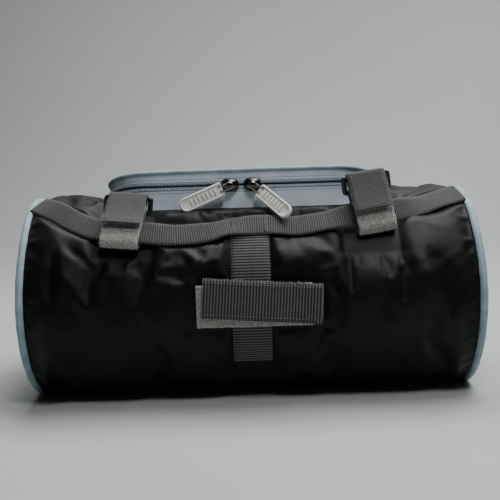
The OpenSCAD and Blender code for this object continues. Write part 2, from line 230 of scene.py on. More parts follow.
def resample(points, step):
    """The same polyline with points about step apart, and the distance run at each."""
    points = np.asarray(points, float)
    run = np.concatenate([[0], np.cumsum(np.linalg.norm(np.diff(points, axis=0), axis=1))])
    count = max(3, int(round(run[-1] / step)) + 1)
    s = np.linspace(0, run[-1], count)
    return np.stack([np.interp(s, run, points[:, k]) for k in range(points.shape[1])], 1), s


def arc(centre, r, a0, a1, steps=12):
    """Points round a circle in a plane, angles in degrees."""
    a = np.radians(np.linspace(a0, a1, steps))
    return np.stack([centre[0] + r * np.cos(a), centre[1] + r * np.sin(a)], 1)


def tube(points, r, sides=8, closed=False):
    """Verts and faces of a round tube along points; r may vary along it."""
    points = np.asarray(points, float)
    n = len(points)
    r = np.broadcast_to(r, n)
    if closed:
        tangent = unit(np.roll(points, -1, 0) - np.roll(points, 1, 0))
    else:
        tangent = unit(np.gradient(points, axis=0))
    normal = np.zeros_like(points)
    start = np.cross(tangent[0], [0, 0, 1])
    if np.linalg.norm(start) < 0.1:
        start = np.cross(tangent[0], [0, 1, 0])
    normal[0] = unit(start)
    for i in range(1, n):
        normal[i] = unit(normal[i - 1] - tangent[i] * np.dot(normal[i - 1], tangent[i]))
    side = np.cross(tangent, normal)
    a = np.linspace(0, 2 * math.pi, sides, endpoint=False)
    ring = (normal[:, None] * np.cos(a)[None, :, None] + side[:, None] * np.sin(a)[None, :, None])
    verts = (points[:, None] + ring * r[:, None, None]).reshape(-1, 3)
    return verts, grid_faces(n, sides, True, True) if closed else capped_grid(n, sides)


# ---------- materials ----------

class Nodes:
    """A small builder for a node material."""

    def __init__(self, name, **shader):
        self.material = bpy.data.materials.new(name)
        self.material.use_nodes = True
        self.tree = self.material.node_tree
        self.shader = self.tree.nodes["Principled BSDF"]
        for key, value in shader.items():
            self.shader.inputs[key.replace("_", " ")].default_value = value

    def add(self, kind, **values):
        node = self.tree.nodes.new(kind)
        for key, value in values.items():
            if hasattr(node, key):
                setattr(node, key, value)
            else:
                node.inputs[key.replace("_", " ")].default_value = value
        return node

    def link(self, a, b):
        self.tree.links.new(a, b)

    def coords(self, kind="Object", scale=(1, 1, 1)):
        coord = self.add("ShaderNodeTexCoord")
        mapping = self.add("ShaderNodeMapping")
        mapping.inputs["Scale"].default_value = scale
        self.link(coord.outputs[kind], mapping.inputs["Vector"])
        return mapping.outputs["Vector"]

    def place(self):
        """Object coordinates in millimetres."""
        return self.coords("Object", (1000, 1000, 1000))

    def noise(self, vector, scale, detail=4, rough=0.55):
        node = self.add("ShaderNodeTexNoise", Scale=scale, Detail=detail, Roughness=rough)
        self.link(vector, node.inputs["Vector"])
        return node.outputs["Fac"]

    def wave(self, vector, scale, direction="X", distortion=0.0):
        node = self.add("ShaderNodeTexWave", Scale=scale, Distortion=distortion)
        node.bands_direction = direction
        self.link(vector, node.inputs["Vector"])
        return node.outputs["Fac"]

    def math(self, op, a, b):
        node = self.add("ShaderNodeMath", operation=op)
        for socket, value in zip(node.inputs, (a, b)):
            if isinstance(value, (int, float)):
                socket.default_value = value
            else:
                self.link(value, socket)
        return node.outputs[0]

    def ramp(self, factor, low, high, start=0.3, end=0.7):
        node = self.add("ShaderNodeValToRGB")
        node.color_ramp.elements[0].position = start
        node.color_ramp.elements[0].color = (*low, 1)
        node.color_ramp.elements[1].position = end
        node.color_ramp.elements[1].color = (*high, 1)
        self.link(factor, node.inputs["Fac"])
        return node.outputs["Color"]

    def scaled(self, factor, low, high):
        node = self.add("ShaderNodeMapRange")
        node.inputs["To Min"].default_value = low
        node.inputs["To Max"].default_value = high
        self.link(factor, node.inputs["Value"])
        return node.outputs["Result"]

    def colour(self, socket):
        self.link(socket, self.shader.inputs["Base Color"])

    def rough(self, socket):
        self.link(socket, self.shader.inputs["Roughness"])

    def bump(self, height, strength, distance, before=None):
        node = self.add("ShaderNodeBump", Strength=strength, Distance=distance)
        self.link(height, node.inputs["Height"])
        if before is not None:
            self.link(before, node.inputs["Normal"])
        self.link(node.outputs["Normal"], self.shader.inputs["Normal"])
        return node.outputs["Normal"]


def nylon_material():
    m = Nodes("nylon_cloth", Specular_IOR_Level=0.18, Sheen_Weight=0.02, Sheen_Roughness=0.4)
    uv = m.coords("UV")
    place = m.place()
    weave = m.math("MULTIPLY", m.wave(uv, 0.75, "X"), m.wave(uv, 0.75, "Y"))
    blotch = m.noise(place, 0.05, 5)
    fine = m.noise(place, 0.9, 3)
    m.colour(m.ramp(blotch, (0.0015, 0.0015, 0.0018), (0.005, 0.005, 0.0056)))
    m.rough(m.scaled(m.math("ADD", m.math("MULTIPLY", blotch, 0.7), m.math("MULTIPLY", fine, 0.3)),
                     0.36, 0.53))
    first = m.bump(m.noise(place, 0.13, 4, 0.5), 0.2, 0.001)
    m.bump(weave, 0.25, 0.0002, first)
    return m.material


def webbing_material(name, dark, light, pitch, contrast=(0.25, 0.75), strand=0.42, weft=0.0):
    """Ribbed webbing: UV y runs along it in millimetres, with one rib every pitch; its colour is lighter on
    each rib as painted highlight and darker between ribs as painted shade.

    weft is how much the lengthwise strands break the ribs up, from 0 to 1."""
    m = Nodes(name, Roughness=0.72, Specular_IOR_Level=0.3, Sheen_Weight=0.15)
    uv = m.coords("UV")
    place = m.place()
    # The wave texture repeats every pi / (10 * scale)
    # Painted highlight and painted shade: the colour is lighter on each rib and darker in the grooves
    # between, in step with the ribs' relief
    ribs = m.wave(uv, math.pi / 10 / pitch, "Y")
    strands = m.wave(uv, math.pi / 10 / strand, "X")
    ribs = m.math("MULTIPLY", ribs, m.scaled(strands, 1 - weft, 1))
    rib_light_and_shade = m.math("MULTIPLY", ribs, m.scaled(m.noise(place, 0.35, 3), 0.65, 1.25))
    m.colour(m.ramp(rib_light_and_shade, dark, light, *contrast))
    first = m.bump(strands, 0.5, 0.00015)
    m.bump(m.noise(place, 3, 3), 0.35, 0.0001, first)
    return m.material


def tape_material():
    """Zip tape: UV y is the distance from the zip's middle line."""
    m = Nodes("zip_tape_cloth", Roughness=0.78, Specular_IOR_Level=0.3, Sheen_Weight=0.2)
    uv = m.coords("UV")
    place = m.place()
    twill = m.wave(uv, math.pi / 10 / 0.9, "DIAGONAL")
    split = m.add("ShaderNodeSeparateXYZ")
    m.link(uv, split.inputs[0])
    away = m.math("ABSOLUTE", split.outputs["Y"], 0)
    # Painted shade: the tape is darkened within 2.9 mm of the zip's middle line, where the gap between the
    # coil's halves and its stitch bars lie in shadow
    coil_gap_shade = m.math("MULTIPLY", m.math("LESS_THAN", away, 2.9), 0.9)
    seam = m.math("MULTIPLY", m.math("LESS_THAN", m.math("ABSOLUTE", m.math("SUBTRACT", away, 4.4), 0),
                                     0.22), 0.35)
    tone = m.math("ADD", m.math("MULTIPLY", m.noise(place, 0.06, 4), 0.6),
                  m.math("MULTIPLY", twill, 0.3))
    tone = m.math("SUBTRACT", m.math("SUBTRACT", tone, coil_gap_shade), seam)
    m.colour(m.ramp(tone, (0.20, 0.25, 0.31), (0.74, 0.83, 0.92), 0.0, 0.5))
    m.bump(twill, 0.35, 0.00015)
    return m.material


def piping_material():
    m = Nodes("piping_cloth", Roughness=0.6, Specular_IOR_Level=0.35, Sheen_Weight=0.2)
    place = m.place()
    m.colour(m.ramp(m.noise(place, 0.12, 5), (0.20, 0.29, 0.33), (0.34, 0.45, 0.50)))
    first = m.bump(m.noise(place, 0.5, 4), 0.3, 0.0005)
    m.bump(m.noise(place, 3.5, 2), 0.3, 0.00015, first)
    return m.material


def pile_material(name, dark, light, rough=0.95):
    m = Nodes(name, Roughness=rough, Specular_IOR_Level=0.15, Sheen_Weight=0.5)
    place = m.place()
    m.colour(m.ramp(m.noise(place, 0.8, 6, 0.7), dark, light))
    m.bump(m.noise(place, 2.2, 5, 0.7), 0.8, 0.0005)
    return m.material


def cloth_material(name, dark, light, rough=0.85):
    m = Nodes(name, Roughness=rough, Specular_IOR_Level=0.25, Sheen_Weight=0.1)
    place = m.place()
    m.colour(m.ramp(m.noise(place, 0.2, 5), dark, light))
    m.bump(m.noise(place, 2.5, 3), 0.4, 0.0002)
    return m.material


def metal_material(name, dark, light, low, high):
    m = Nodes(name, Metallic=1.0)
    place = m.place()
    blotch = m.noise(place, 0.7, 4)
    m.colour(m.ramp(blotch, dark, light))
    m.rough(m.scaled(m.noise(place, 2.0, 4), low, high))
    m.bump(m.noise(place, 6, 2), 0.08, 0.0001)
    return m.material


def plastic_material(name, dark, light, low, high, grain=4.0):
    m = Nodes(name, Specular_IOR_Level=0.5)
    place = m.place()
    m.colour(m.ramp(m.noise(place, 0.25, 5), dark, light))
    m.rough(m.scaled(m.noise(place, 1.2, 4), low, high))
    m.bump(m.noise(place, grain, 3), 0.15, 0.0001)
    return m.material


NYLON = nylon_material()
RIB_PITCH = 1.5
FINE_PITCH = 1.0
BASKET_PITCH = 1.9
WEBBING = webbing_material("ribbed_webbing", (0.010, 0.011, 0.010), (0.080, 0.084, 0.080), RIB_PITCH)
BASKET_WEB = webbing_material("basket_webbing", (0.008, 0.008, 0.008), (0.15, 0.157, 0.15),
                              BASKET_PITCH, (0.15, 0.7), 1.2, 0.65)
FINE_WEB = webbing_material("fine_webbing", (0.03, 0.032, 0.032), (0.082, 0.086, 0.086), FINE_PITCH,
                            (0.0, 0.9))
TAPE = tape_material()
PIPING = piping_material()
PILE = pile_material("loop_pile_fluff", (0.12, 0.115, 0.105), (0.56, 0.55, 0.52))
HOOK = pile_material("hook_pile_dark", (0.04, 0.042, 0.042), (0.10, 0.105, 0.105), 0.7)
LINING = cloth_material("lining_cloth", (0.035, 0.038, 0.042), (0.06, 0.065, 0.07))
BINDING = cloth_material("binding_cloth", (0.015, 0.015, 0.016), (0.03, 0.03, 0.032))
FOAM = cloth_material("foam_cells", (0.2, 0.2, 0.19), (0.3, 0.3, 0.29))
THREAD = cloth_material("thread", (0.10, 0.105, 0.10), (0.18, 0.185, 0.18), 0.6)
PALE_THREAD = cloth_material("pale_thread", (0.30, 0.30, 0.28), (0.42, 0.42, 0.40), 0.7)
COIL = plastic_material("coil_nylon", (0.62, 0.68, 0.74), (0.74, 0.80, 0.86), 0.35, 0.5)
GUNMETAL = metal_material("gunmetal", (0.06, 0.055, 0.055), (0.15, 0.14, 0.14), 0.12, 0.25)
WIRE = metal_material("bright_wire", (0.45, 0.42, 0.36), (0.62, 0.60, 0.56), 0.18, 0.35)
PULL = plastic_material("pull_plastic", (0.72, 0.72, 0.67), (0.82, 0.82, 0.78), 0.4, 0.6)
BLACK_PLASTIC = plastic_material("ring_plastic", (0.010, 0.010, 0.011), (0.02, 0.02, 0.021), 0.22, 0.4)


# ---------- barrel ----------

def flattened(y, z, rise=0.0):
    """Keeps a point of the barrel's section above its flat underside, softly."""
    low = -AXIS_Z + rise
    soft = 1.5
    return y, low + soft * np.logaddexp(0, (z - low) / soft)


def lid_distance(x, y):
    """Signed distance in plan from the lid's outline, negative inside it."""
    cx, cy = (LID_LEFT + LID_RIGHT) / 2, (LID_FRONT + LID_BACK) / 2
    hx, hy = (LID_RIGHT - LID_LEFT) / 2 - LID_CORNER, (LID_BACK - LID_FRONT) / 2 - LID_CORNER
    qx, qy = np.abs(x - cx) - hx, np.abs(y - cy) - hy
    outside = np.hypot(np.maximum(qx, 0), np.maximum(qy, 0))
    return outside + np.minimum(np.maximum(qx, qy), 0) - LID_CORNER


# Creases seen on the front: from (x, angle up from the front) to (x, angle), depth, half width
CREASES = [
    ((-128, 44), (-92, 22), -2.2, 4), ((-122, 26), (-104, 4), 2.0, 6), ((-98, 30), (-70, 24), -1.6, 3),
    ((-80, 4), (-62, -26), 2.0, 3), ((-74, 2), (-56, -28), -1.6, 4), ((-112, 8), (-86, 2), 1.8, 4),
    ((-64, 22), (-34, 16), -1.4, 3), ((-46, 34), (-26, 24), 1.8, 5), ((-40, 20), (-16, 30), 1.4, 4),
    ((34, 34), (62, 26), 1.8, 5), ((40, 25), (78, 32), -1.6, 4), ((60, 18), (112, 24), 2.4, 8),
    ((104, 26), (122, 4), 2.6, 6), ((112, 30), (134, 6), -1.8, 6), ((48, 4), (84, -2), -1.4, 6),
    ((-136, -8), (-116, -32), 1.6, 7), ((104, -20), (134, -44), -1.5, 8), ((-26, 60), (30, 63), 1.2, 4),
    ((-60, 62), (-30, 58), -1.0, 4), ((92, 66), (132, 84), -1.4, 5), ((-132, 84), (-104, 72), -1.4, 5),
    ((-128, 100), (-104, 118), -1.6, 7), ((-60, 132), (20, 128), 1.6, 9), ((30, 150), (110, 134), -1.8, 8),
    ((-110, 160), (-40, 176), 1.8, 8), ((0, 176), (80, 196), -1.8, 8), ((60, 160), (126, 186), 1.8, 8),
    ((-90, 200), (-10, 190), -1.6, 7), ((20, 214), (100, 222), 1.6, 8),
]


def smooth_step(value, low, high):
    t = np.clip((value - low) / (high - low), 0, 1)
    return t * t * (3 - 2 * t)


def rise(theta):
    """How far the filled bag stands up above its round frame along its top."""
    return 3.2 * smooth_step(theta, 35, 78) * (1 - smooth_step(theta, 150, 195))


def web_height(x, theta):
    """Distance from the front webbing's middle line, and how far its underside stands off."""
    rows = front_route()
    y = np.interp(x, rows[:, 0], rows[:, 1])
    z = np.interp(x, rows[:, 0], rows[:, 2]) - AXIS_Z
    line = np.degrees(np.arctan2(z, -y))
    return np.abs(np.radians(theta - line)) * RADIUS, np.hypot(y, z) - RADIUS - WEB_T


def press(x, theta):
    """The highest the cloth may stand, where webbing and straps hold it down."""
    gap, stand = web_height(x, theta)
    outer = smooth_step(np.abs(x), 96, 116)
    cap = np.maximum(stand, 0.1) + outer * rise(theta) * 0.9 + np.maximum(gap - 8, 0) * 0.6
    middle = np.maximum(np.abs(x) - 12.5, 0) * 0.6 + np.maximum(np.maximum(-32 - theta, theta - 57), 0)
    tether = np.maximum(np.maximum(-40 - x, x - 46), 0) * 0.5 + np.maximum(np.abs(theta - 2) - 13, 0)
    cap = np.minimum(cap, np.minimum(middle, tether + 0.6))
    for name in ("left", "right"):
        at = mount("cinch_" + name)["pos_m"][0] / MM
        strap = np.maximum(np.abs(x - at) - 18, 0) * 0.5 + np.maximum(np.abs(theta - 48) - 18, 0) * 0.5
        cap = np.minimum(cap, strap + 0.5)
    return cap


def barrel_relief(x, theta):
    """How far the cloth stands in or out, at x and at theta degrees up from the front."""
    height = np.zeros_like(x)
    for (x0, t0), (x1, t1), depth, width in CREASES:
        a = np.array([x0, math.radians(t0) * RADIUS])
        b = np.array([x1, math.radians(t1) * RADIUS])
        p = np.stack([x, np.radians(theta) * RADIUS], 1) - a
        along = np.clip(p @ (b - a) / np.dot(b - a, b - a), 0, 1)
        gap = np.linalg.norm(p - along[:, None] * (b - a), axis=1)
        gap += 1.4 * np.sin(along * 7 + x0) * smooth_step(gap, 0, 6)
        fade = np.sin(math.pi * np.clip(along * 0.94 + 0.03, 0, 1)) ** 0.6
        height += depth * fade * np.exp(-np.abs(gap / width) ** 1.5)
    surface = np.stack([x * 0.7, np.radians(theta) * RADIUS * 1.3], 1)
    broad = ripple(surface, 3, 62, 2)
    drawn = np.stack([x * 0.42 + 9 * broad, np.radians(theta) * RADIUS * 1.15], 1)
    crumple = 1 - np.abs(ripple(drawn, 11, 36, 2)) * 2
    height += 1.0 + 1.3 * broad + 0.7 * crumple * (0.4 + 0.6 * smooth_step(theta, -20, 20))
    edge = HALF_LEN - np.abs(x)
    height += 0.4 * np.sin(np.radians(theta) * 46 + 3 * broad) * np.exp(-edge / 6)
    height = height * smooth_step(edge, 0, 16) + rise(theta)
    return held_between(height, press(x, theta))


def held_between(height, cap):
    """Keeps the cloth above the foam and below what presses it down, softly."""
    above, below = 0.5, 0.35
    height = cap - above * np.logaddexp(0, (cap - height) / above)
    return DEEPEST + below * np.logaddexp(0, (height - DEEPEST) / below)


# The cloth simulation runs at ten times the size, on cloth that is cut this share too large
SIM_SCALE = 10
SIM_SLACK = 0.026
SIM_PRESSURE = 1.0
SIM_STEPS = 25


def slack_cloth(rows=97, cols=144):
    """Lets the barrel's cloth buckle by simulation where nothing holds it.

    Returns how far each point of a rows by cols grid moves along, round and out."""
    x = np.linspace(-HALF_LEN, HALF_LEN, rows)
    theta = np.linspace(0, 360, cols, endpoint=False)
    gx, gt = (g.ravel() for g in np.meshgrid(x, theta, indexing="ij"))
    signed = np.where(gt > 250, gt - 360, gt)
    r = RADIUS + barrel_relief(gx, signed)
    turn = np.radians(gt)
    verts = np.stack([gx, -r * np.cos(turn), r * np.sin(turn)], 1)
    away = np.where(verts[:, 2] > 0, lid_distance(gx, verts[:, 1]), 99)
    hold = np.maximum.reduce([1 - smooth_step(HALF_LEN - np.abs(gx), 1, 5), 1 - smooth_step(away, 2, 8),
                              1 - smooth_step(np.abs(gt - 270), 12, 26),
                              1 - smooth_step(press(gx, signed), 0.5, 1.2)])
    mesh = bpy.data.meshes.new("slack")
    mesh.from_pydata((verts * MM * SIM_SCALE).tolist(), [], grid_faces(rows, cols, wrap_cols=True))
    obj = bpy.data.objects.new("slack", mesh)
    bpy.context.scene.collection.objects.link(obj)
    outward(obj)
    group = obj.vertex_groups.new(name="held")
    for k, weight in enumerate(hold):
        group.add([k], float(weight), "REPLACE")
    settings = obj.modifiers.new("cloth", "CLOTH").settings
    settings.quality = 6
    settings.mass = 0.3
    settings.tension_stiffness = 20
    settings.compression_stiffness = 20
    settings.shear_stiffness = 8
    settings.bending_stiffness = 1.5
    settings.shrink_min = settings.shrink_max = -SIM_SLACK
    settings.use_pressure = True
    settings.uniform_pressure_force = SIM_PRESSURE
    settings.vertex_group_mass = "held"
    settings.effector_weights.gravity = 0
    for step in range(1, SIM_STEPS + 1):
        bpy.context.scene.frame_set(step)
    graph = bpy.context.evaluated_depsgraph_get()
    co = np.empty(len(verts) * 3)
    obj.evaluated_get(graph).data.vertices.foreach_get("co", co)
    bpy.context.scene.frame_set(1)
    bpy.data.objects.remove(obj)
    co = co.reshape(-1, 3) / (MM * SIM_SCALE)
    out = np.hypot(co[:, 1], co[:, 2]) - RADIUS
    round_by = np.degrees(np.arctan2(co[:, 2], -co[:, 1])) - gt
    round_by = (round_by + 180) % 360 - 180
    return [f.reshape(rows, cols) for f in (co[:, 0] - gx, round_by, out)]


def refine(field, rows, cols):
    """The same field on a finer grid, by cubic interpolation; it wraps round its second axis."""
    def cubic(values, at, wrap):
        i = np.floor(at).astype(int)
        t = (at - i)[:, None]
        n = len(values)
        a, b, c, d = (values[(i + k) % n if wrap else np.clip(i + k, 0, n - 1)] for k in (-1, 0, 1, 2))
        return b + 0.5 * t * (c - a + t * (2 * a - 5 * b + 4 * c - d + t * (3 * (b - c) + d - a)))
    along = cubic(field, np.linspace(0, len(field) - 1, rows), False)
    return cubic(along.T, np.linspace(0, field.shape[1], cols, endpoint=False), True).T


def barrel_piece():
    rows, cols = 221, 300
    x = np.linspace(-HALF_LEN, HALF_LEN, rows)
    theta = np.linspace(0, 360, cols, endpoint=False)
    gx, gt = (g.ravel() for g in np.meshgrid(x, theta, indexing="ij"))
    shift, turn, lift = (refine(f, rows, cols).ravel() for f in slack_cloth())
    gx, gt = gx + shift, gt + turn
    lift = held_between(lift, press(gx, np.where(gt > 250, gt - 360, gt)))
    under = np.exp(-((gt - 270) / 26) ** 2)
    lift = lift * (1 - under)
    y0, z0 = -RADIUS * np.cos(np.radians(gt)), RADIUS * np.sin(np.radians(gt))
    away = np.where(z0 > 0, lid_distance(gx, y0), 99)
    lift *= smooth_step(away, 0, 11)
    r = RADIUS + lift
    y, z = flattened(-r * np.cos(np.radians(gt)), r * np.sin(np.radians(gt)))
    away = np.where(z > 0, lid_distance(gx, y), 99)
    verts = np.stack([gx, y, z + AXIS_Z], 1)
    inside = away < 0.4
    faces = [f for f in grid_faces(rows, cols, wrap_cols=True) if not all(inside[k] for k in f)]
    rim = {k for f in faces for k in f if inside[k]}
    snap_to_outline(verts, rim)
    uvs = np.stack([gx, np.radians(gt) * RADIUS], 1)
    obj = make("barrel_cloth", verts, faces, NYLON, None, uvs)
    thick = obj.modifiers.new("thick", "SOLIDIFY")
    thick.thickness = CLOTH_T * MM
    thick.offset = -1
    bake_modifiers(obj)
    drop_loose(obj)
    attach(obj, "bag")
    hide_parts("barrel_skin")


def snap_to_outline(verts, rim):
    """Moves the rim of the mouth onto the lid's outline."""
    step = 0.01
    for k in rim:
        for _ in range(3):
            x, y = verts[k, 0], verts[k, 1]
            d = lid_distance(np.array([x]), np.array([y]))[0]
            gx = (lid_distance(np.array([x + step]), np.array([y]))[0] - d) / step
            gy = (lid_distance(np.array([x]), np.array([y + step]))[0] - d) / step
            verts[k, 0] -= d * gx
            verts[k, 1] -= d * gy
        verts[k, 2] = AXIS_Z + math.sqrt(max(RADIUS ** 2 - verts[k, 1] ** 2, 1))


def drop_loose(obj):
    bm = bmesh.new()
    bm.from_mesh(obj.data)
    bmesh.ops.delete(bm, geom=[v for v in bm.verts if not v.link_faces], context="VERTS")
    bm.to_mesh(obj.data)
    bm.free()


def ring_outline(r, count=180):
    """The section of the barrel's end at radius r, flattened below: points as (y, z)."""
    a = np.linspace(0, 2 * math.pi, count, endpoint=False)
    r = r + rise(np.degrees(a))
    y, z = flattened(-r * np.cos(a), r * np.sin(a), PIPE_R)
    return np.stack([y, z + AXIS_Z], 1)


def end_piece(side):
    """An end panel: a soft disc that bows outwards a little, with puckers by its seam."""
    name = "left" if side < 0 else "right"
    count, rings = 180, 26
    edge = ring_outline(PIPE_RUN - 0.6, count)
    centre = np.array([0, AXIS_Z])
    shares = np.linspace(1, 0, rings + 1)[:-1]
    low, high = box_mm("end_panel_" + name)
    base = (low if side > 0 else high)[0]
    layers = []
    for inner in (False, True):
        pts = []
        for share in shares:
            ring = centre + (edge - centre) * share
            a = np.arctan2(ring[:, 1] - AXIS_Z, ring[:, 0])
            bow = 3.0 * (1 - share ** 2) + 0.5 * ripple(ring, 20 + side, 30, 3) * (1 - share ** 6)
            bow += 0.35 * np.sin(a * 40) * share ** 8 * (share < 0.99)
            bow = bow * (0.0 if inner else 1.0) + (0.0 if inner else 1.0)
            pts.append(np.column_stack([base + side * bow, ring]))
        pts.append(np.array([[base + side * (0 if inner else 4.0), 0, AXIS_Z]]))
        layers.append(np.concatenate(pts))
    verts = np.concatenate(layers)
    obj = make("end_cloth_" + name, verts, shell_faces(rings, count), NYLON, "bag", verts[:, 1:])
    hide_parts("end_panel_" + name)


def piping_piece(side):
    name = "left" if side < 0 else "right"
    count = 300
    pts = ring_outline(PIPE_RUN, count)
    a = np.linspace(0, 2 * math.pi, count, endpoint=False)
    path = np.column_stack([np.full(count, side * (HALF_LEN + PIPE_R)), pts])
    path[:, 0] += 0.35 * np.sin(a * 3 + side)
    r = PIPE_R * (0.97 + 0.05 * np.sin(a * 23) * np.sin(a * 7))
    verts, faces = tube(path, r, 16, closed=True)
    verts[:, 2] = np.maximum(verts[:, 2], 0)
    obj = make("piping_" + name, verts, faces, PIPING, "bag")
    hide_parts("end_piping_" + name)


# ---------- webbing ----------

def ribbon(name, centre, across, normal, width, thick, pitch, depth, material, body, cols=9):
    """A woven strap swept along centre, with ribs across it as real relief."""
    centre, across, normal = (np.asarray(a, float) for a in (centre, across, normal))
    n = len(centre)
    run = np.concatenate([[0], np.cumsum(np.linalg.norm(np.diff(centre, axis=0), axis=1))])
    u = np.linspace(-1, 1, cols)
    edge = (1 - np.abs(u) ** 6 * 0.55)
    rib = depth * np.abs(np.sin(math.pi * run / pitch)) ** 0.8
    half = (thick / 2 - depth) * edge[None, :] + rib[:, None] * edge[None, :]
    width = np.broadcast_to(width, n) * (1 + 0.006 * np.sin(run * 0.9) + 0.004 * np.sin(run * 2.3))
    spread = u[None, :] * width[:, None] / 2
    top = centre[:, None] + across[:, None] * spread[..., None] + normal[:, None] * half[..., None]
    low = centre[:, None] + across[:, None] * spread[..., None] - normal[:, None] * half[..., None]
    verts = np.concatenate([top, low[:, ::-1]], 1).reshape(-1, 3)
    sides = 2 * cols
    around = np.concatenate([u, u[::-1]]) * width.mean() / 2
    uvs = np.stack([np.tile(around, n), np.repeat(run, sides)], 1)
    return make(name, verts, capped_grid(n, sides), material, body, uvs)


def front_route():
    """Centre and width direction of the front webbing, from its CAD solid."""
    mesh = frame["nodes"]["front_webbing"].data
    co = np.array([v.co for v in mesh.vertices]) / MM
    rows = []
    for x in np.unique(np.round(co[:, 0], 2)):
        ring = np.unique(np.round(co[np.abs(co[:, 0] - x) < 0.02], 2), axis=0)
        if len(ring) != 4:
            continue
        mid = ring.mean(0)
        flat = ring[:, 1:] - mid[1:]
        _, _, axes = np.linalg.svd(flat)
        wide = axes[0] if axes[0][1] > 0 else -axes[0]
        rows.append(np.concatenate([mid, wide]))
    return np.array(sorted(rows, key=lambda r: r[0]))


def front_webbing():
    rows = front_route()
    fine, _ = resample(rows, RIB_PITCH / 6)
    centre, wide = fine[:, :3], fine[:, 3:]
    across = unit(np.column_stack([np.zeros(len(fine)), wide]))
    along = unit(np.gradient(centre, axis=0))
    across = unit(across - along * np.sum(across * along, 1)[:, None])
    normal = np.cross(along, across)
    x = centre[:, 0]
    curl = np.radians(5) * np.sin(x / 11) + np.radians(4) * np.sin(x / 5.3 + 1)
    turned = across * np.cos(curl)[:, None] + normal * np.sin(curl)[:, None]
    normal = normal * np.cos(curl)[:, None] - across * np.sin(curl)[:, None]
    # Towards its sewn ends the webbing rides up on the filled shoulders and turns to the front
    ends = smooth_step(np.abs(x), 96, 132)
    out = unit(np.column_stack([np.zeros(len(x)), centre[:, 1], centre[:, 2] - AXIS_Z]))
    angle = np.degrees(np.arctan2(out[:, 2], -out[:, 1]))
    centre = centre + out * (ends * (rise(angle) + 1.6))[:, None]
    face = np.radians(14) * ends
    turned, normal = (turned * np.cos(face)[:, None] + normal * np.sin(face)[:, None],
                      normal * np.cos(face)[:, None] - turned * np.sin(face)[:, None])
    obj = ribbon("front_strap", centre, turned, normal, FRONT_WEB_W, WEB_T, RIB_PITCH, 0.32, WEBBING,
                 "bag")
    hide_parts("front_webbing")


def plane_ribbon(name, path, origin, e_path, e_out, across, width, pitch, depth, material, body,
                 thick=WEB_T, cols=9, twist=None):
    """A ribbon whose centre line is drawn as [along, out] in a plane."""
    fine, _ = resample(path, pitch / 6)
    centre = origin + fine[:, :1] * e_path + fine[:, 1:2] * e_out
    along = unit(np.gradient(centre, axis=0))
    side = np.broadcast_to(across, centre.shape)
    if twist is not None:
        centre, along, side = twist(fine, centre, along, side)
    normal = unit(np.cross(along, side))
    return ribbon(name, centre, side, normal, width, thick, pitch, depth, material, body, cols)


def middle_webbing():
    low = box_mm("middle_webbing")[0]
    r = RADIUS + 0.1 + WEB_T / 2
    bottom = math.degrees(math.asin((low[2] - AXIS_Z) / (r + WEB_T / 2)))
    path = arc((0, 0), r, bottom, 56, 60)
    origin = np.array([0, 0, AXIS_Z])
    obj = plane_ribbon("middle_strap", path, origin, np.array([0, -1.0, 0]), np.array([0, 0, 1.0]),
                       np.array([1.0, 0, 0]), STRAP_W, BASKET_PITCH, 0.2, BASKET_WEB, "bag")
    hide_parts("middle_webbing")


def end_handle(side):
    name = "left" if side < 0 else "right"
    low, high = box_mm("end_handle_" + name)
    bow = high[0] - low[0] - WEB_T / 2
    foot = (low if side > 0 else high)[0]
    half = (high[2] - low[2]) / 2
    mid = (high[2] + low[2]) / 2
    s = np.linspace(-1, 1, 80)
    # A webbing handle that lifts off the panel between its two sewn feet
    rise = bow * np.clip((1 - np.abs(s) ** 2.2) * 1.05, 0, 1) ** 0.85
    path = np.column_stack([s * half, np.maximum(rise, WEB_T / 2)])
    obj = plane_ribbon("handle_" + name, path, np.array([foot, 0, mid]), np.array([0, 0, 1.0]),
                       np.array([float(side), 0, 0]), np.array([0, 1.0, 0]), STRAP_W, RIB_PITCH, 0.3,
                       WEBBING, "bag")
    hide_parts("end_handle_" + name)


# ---------- stitches, threads and fluff ----------

def stitch(start, end, up, r=0.22):
    """One sewn thread from start to end, arched a little towards up."""
    start, end = np.asarray(start, float), np.asarray(end, float)
    t = np.array([0, 0.12, 0.5, 0.88, 1])
    lift = np.array([-0.2, 0.1, 0.3, 0.1, -0.2])
    pts = start + (end - start) * t[:, None] + np.asarray(up) * (lift * r * 2)[:, None]
    return tube(pts, np.array([0.5, 1, 1, 1, 0.5]) * r, 6)


def stitch_row(points, ups, length=2.0, gap=0.7, r=0.22):
    points = np.asarray(points, float)
    ups = np.broadcast_to(ups, points.shape)
    both, run = resample(np.hstack([points, ups]), 0.25)
    chunks, at = [], 0.0
    while at + length < run[-1]:
        a, b = (int(np.searchsorted(run, s)) for s in (at, at + length))
        chunks.append(stitch(both[a, :3], both[b, :3], both[a, 3:], r))
        at += length + gap
    return chunks


def stray_thread(start, direction, length, seed, r=0.1):
    rng = np.random.default_rng(seed)
    steps = 10
    heading, pts = unit(direction), [np.asarray(start, float)]
    for _ in range(steps):
        heading = unit(heading + rng.normal(size=3) * 0.35)
        pts.append(pts[-1] + heading * length / steps)
    return tube(np.array(pts), np.linspace(r, r * 0.5, len(pts)), 5)


def fluff(place, count, length, seed, r=0.07):
    """Short curled fibres. place(s, t) gives a point and its outward direction."""
    rng = np.random.default_rng(seed)
    chunks = []
    for _ in range(count):
        point, out = place(rng.uniform(0, 1), rng.uniform(0, 1))
        lean = unit(out + rng.normal(size=3) * 0.8)
        bend = unit(rng.normal(size=3))
        size = length * rng.uniform(0.5, 1.3)
        t = np.array([0, 0.4, 0.8, 1.0])[:, None]
        pts = point + lean * size * t + bend * size * 0.5 * t ** 2
        chunks.append(tube(pts, np.array([r, r, r * 0.8, r * 0.4]), 3))
    return chunks


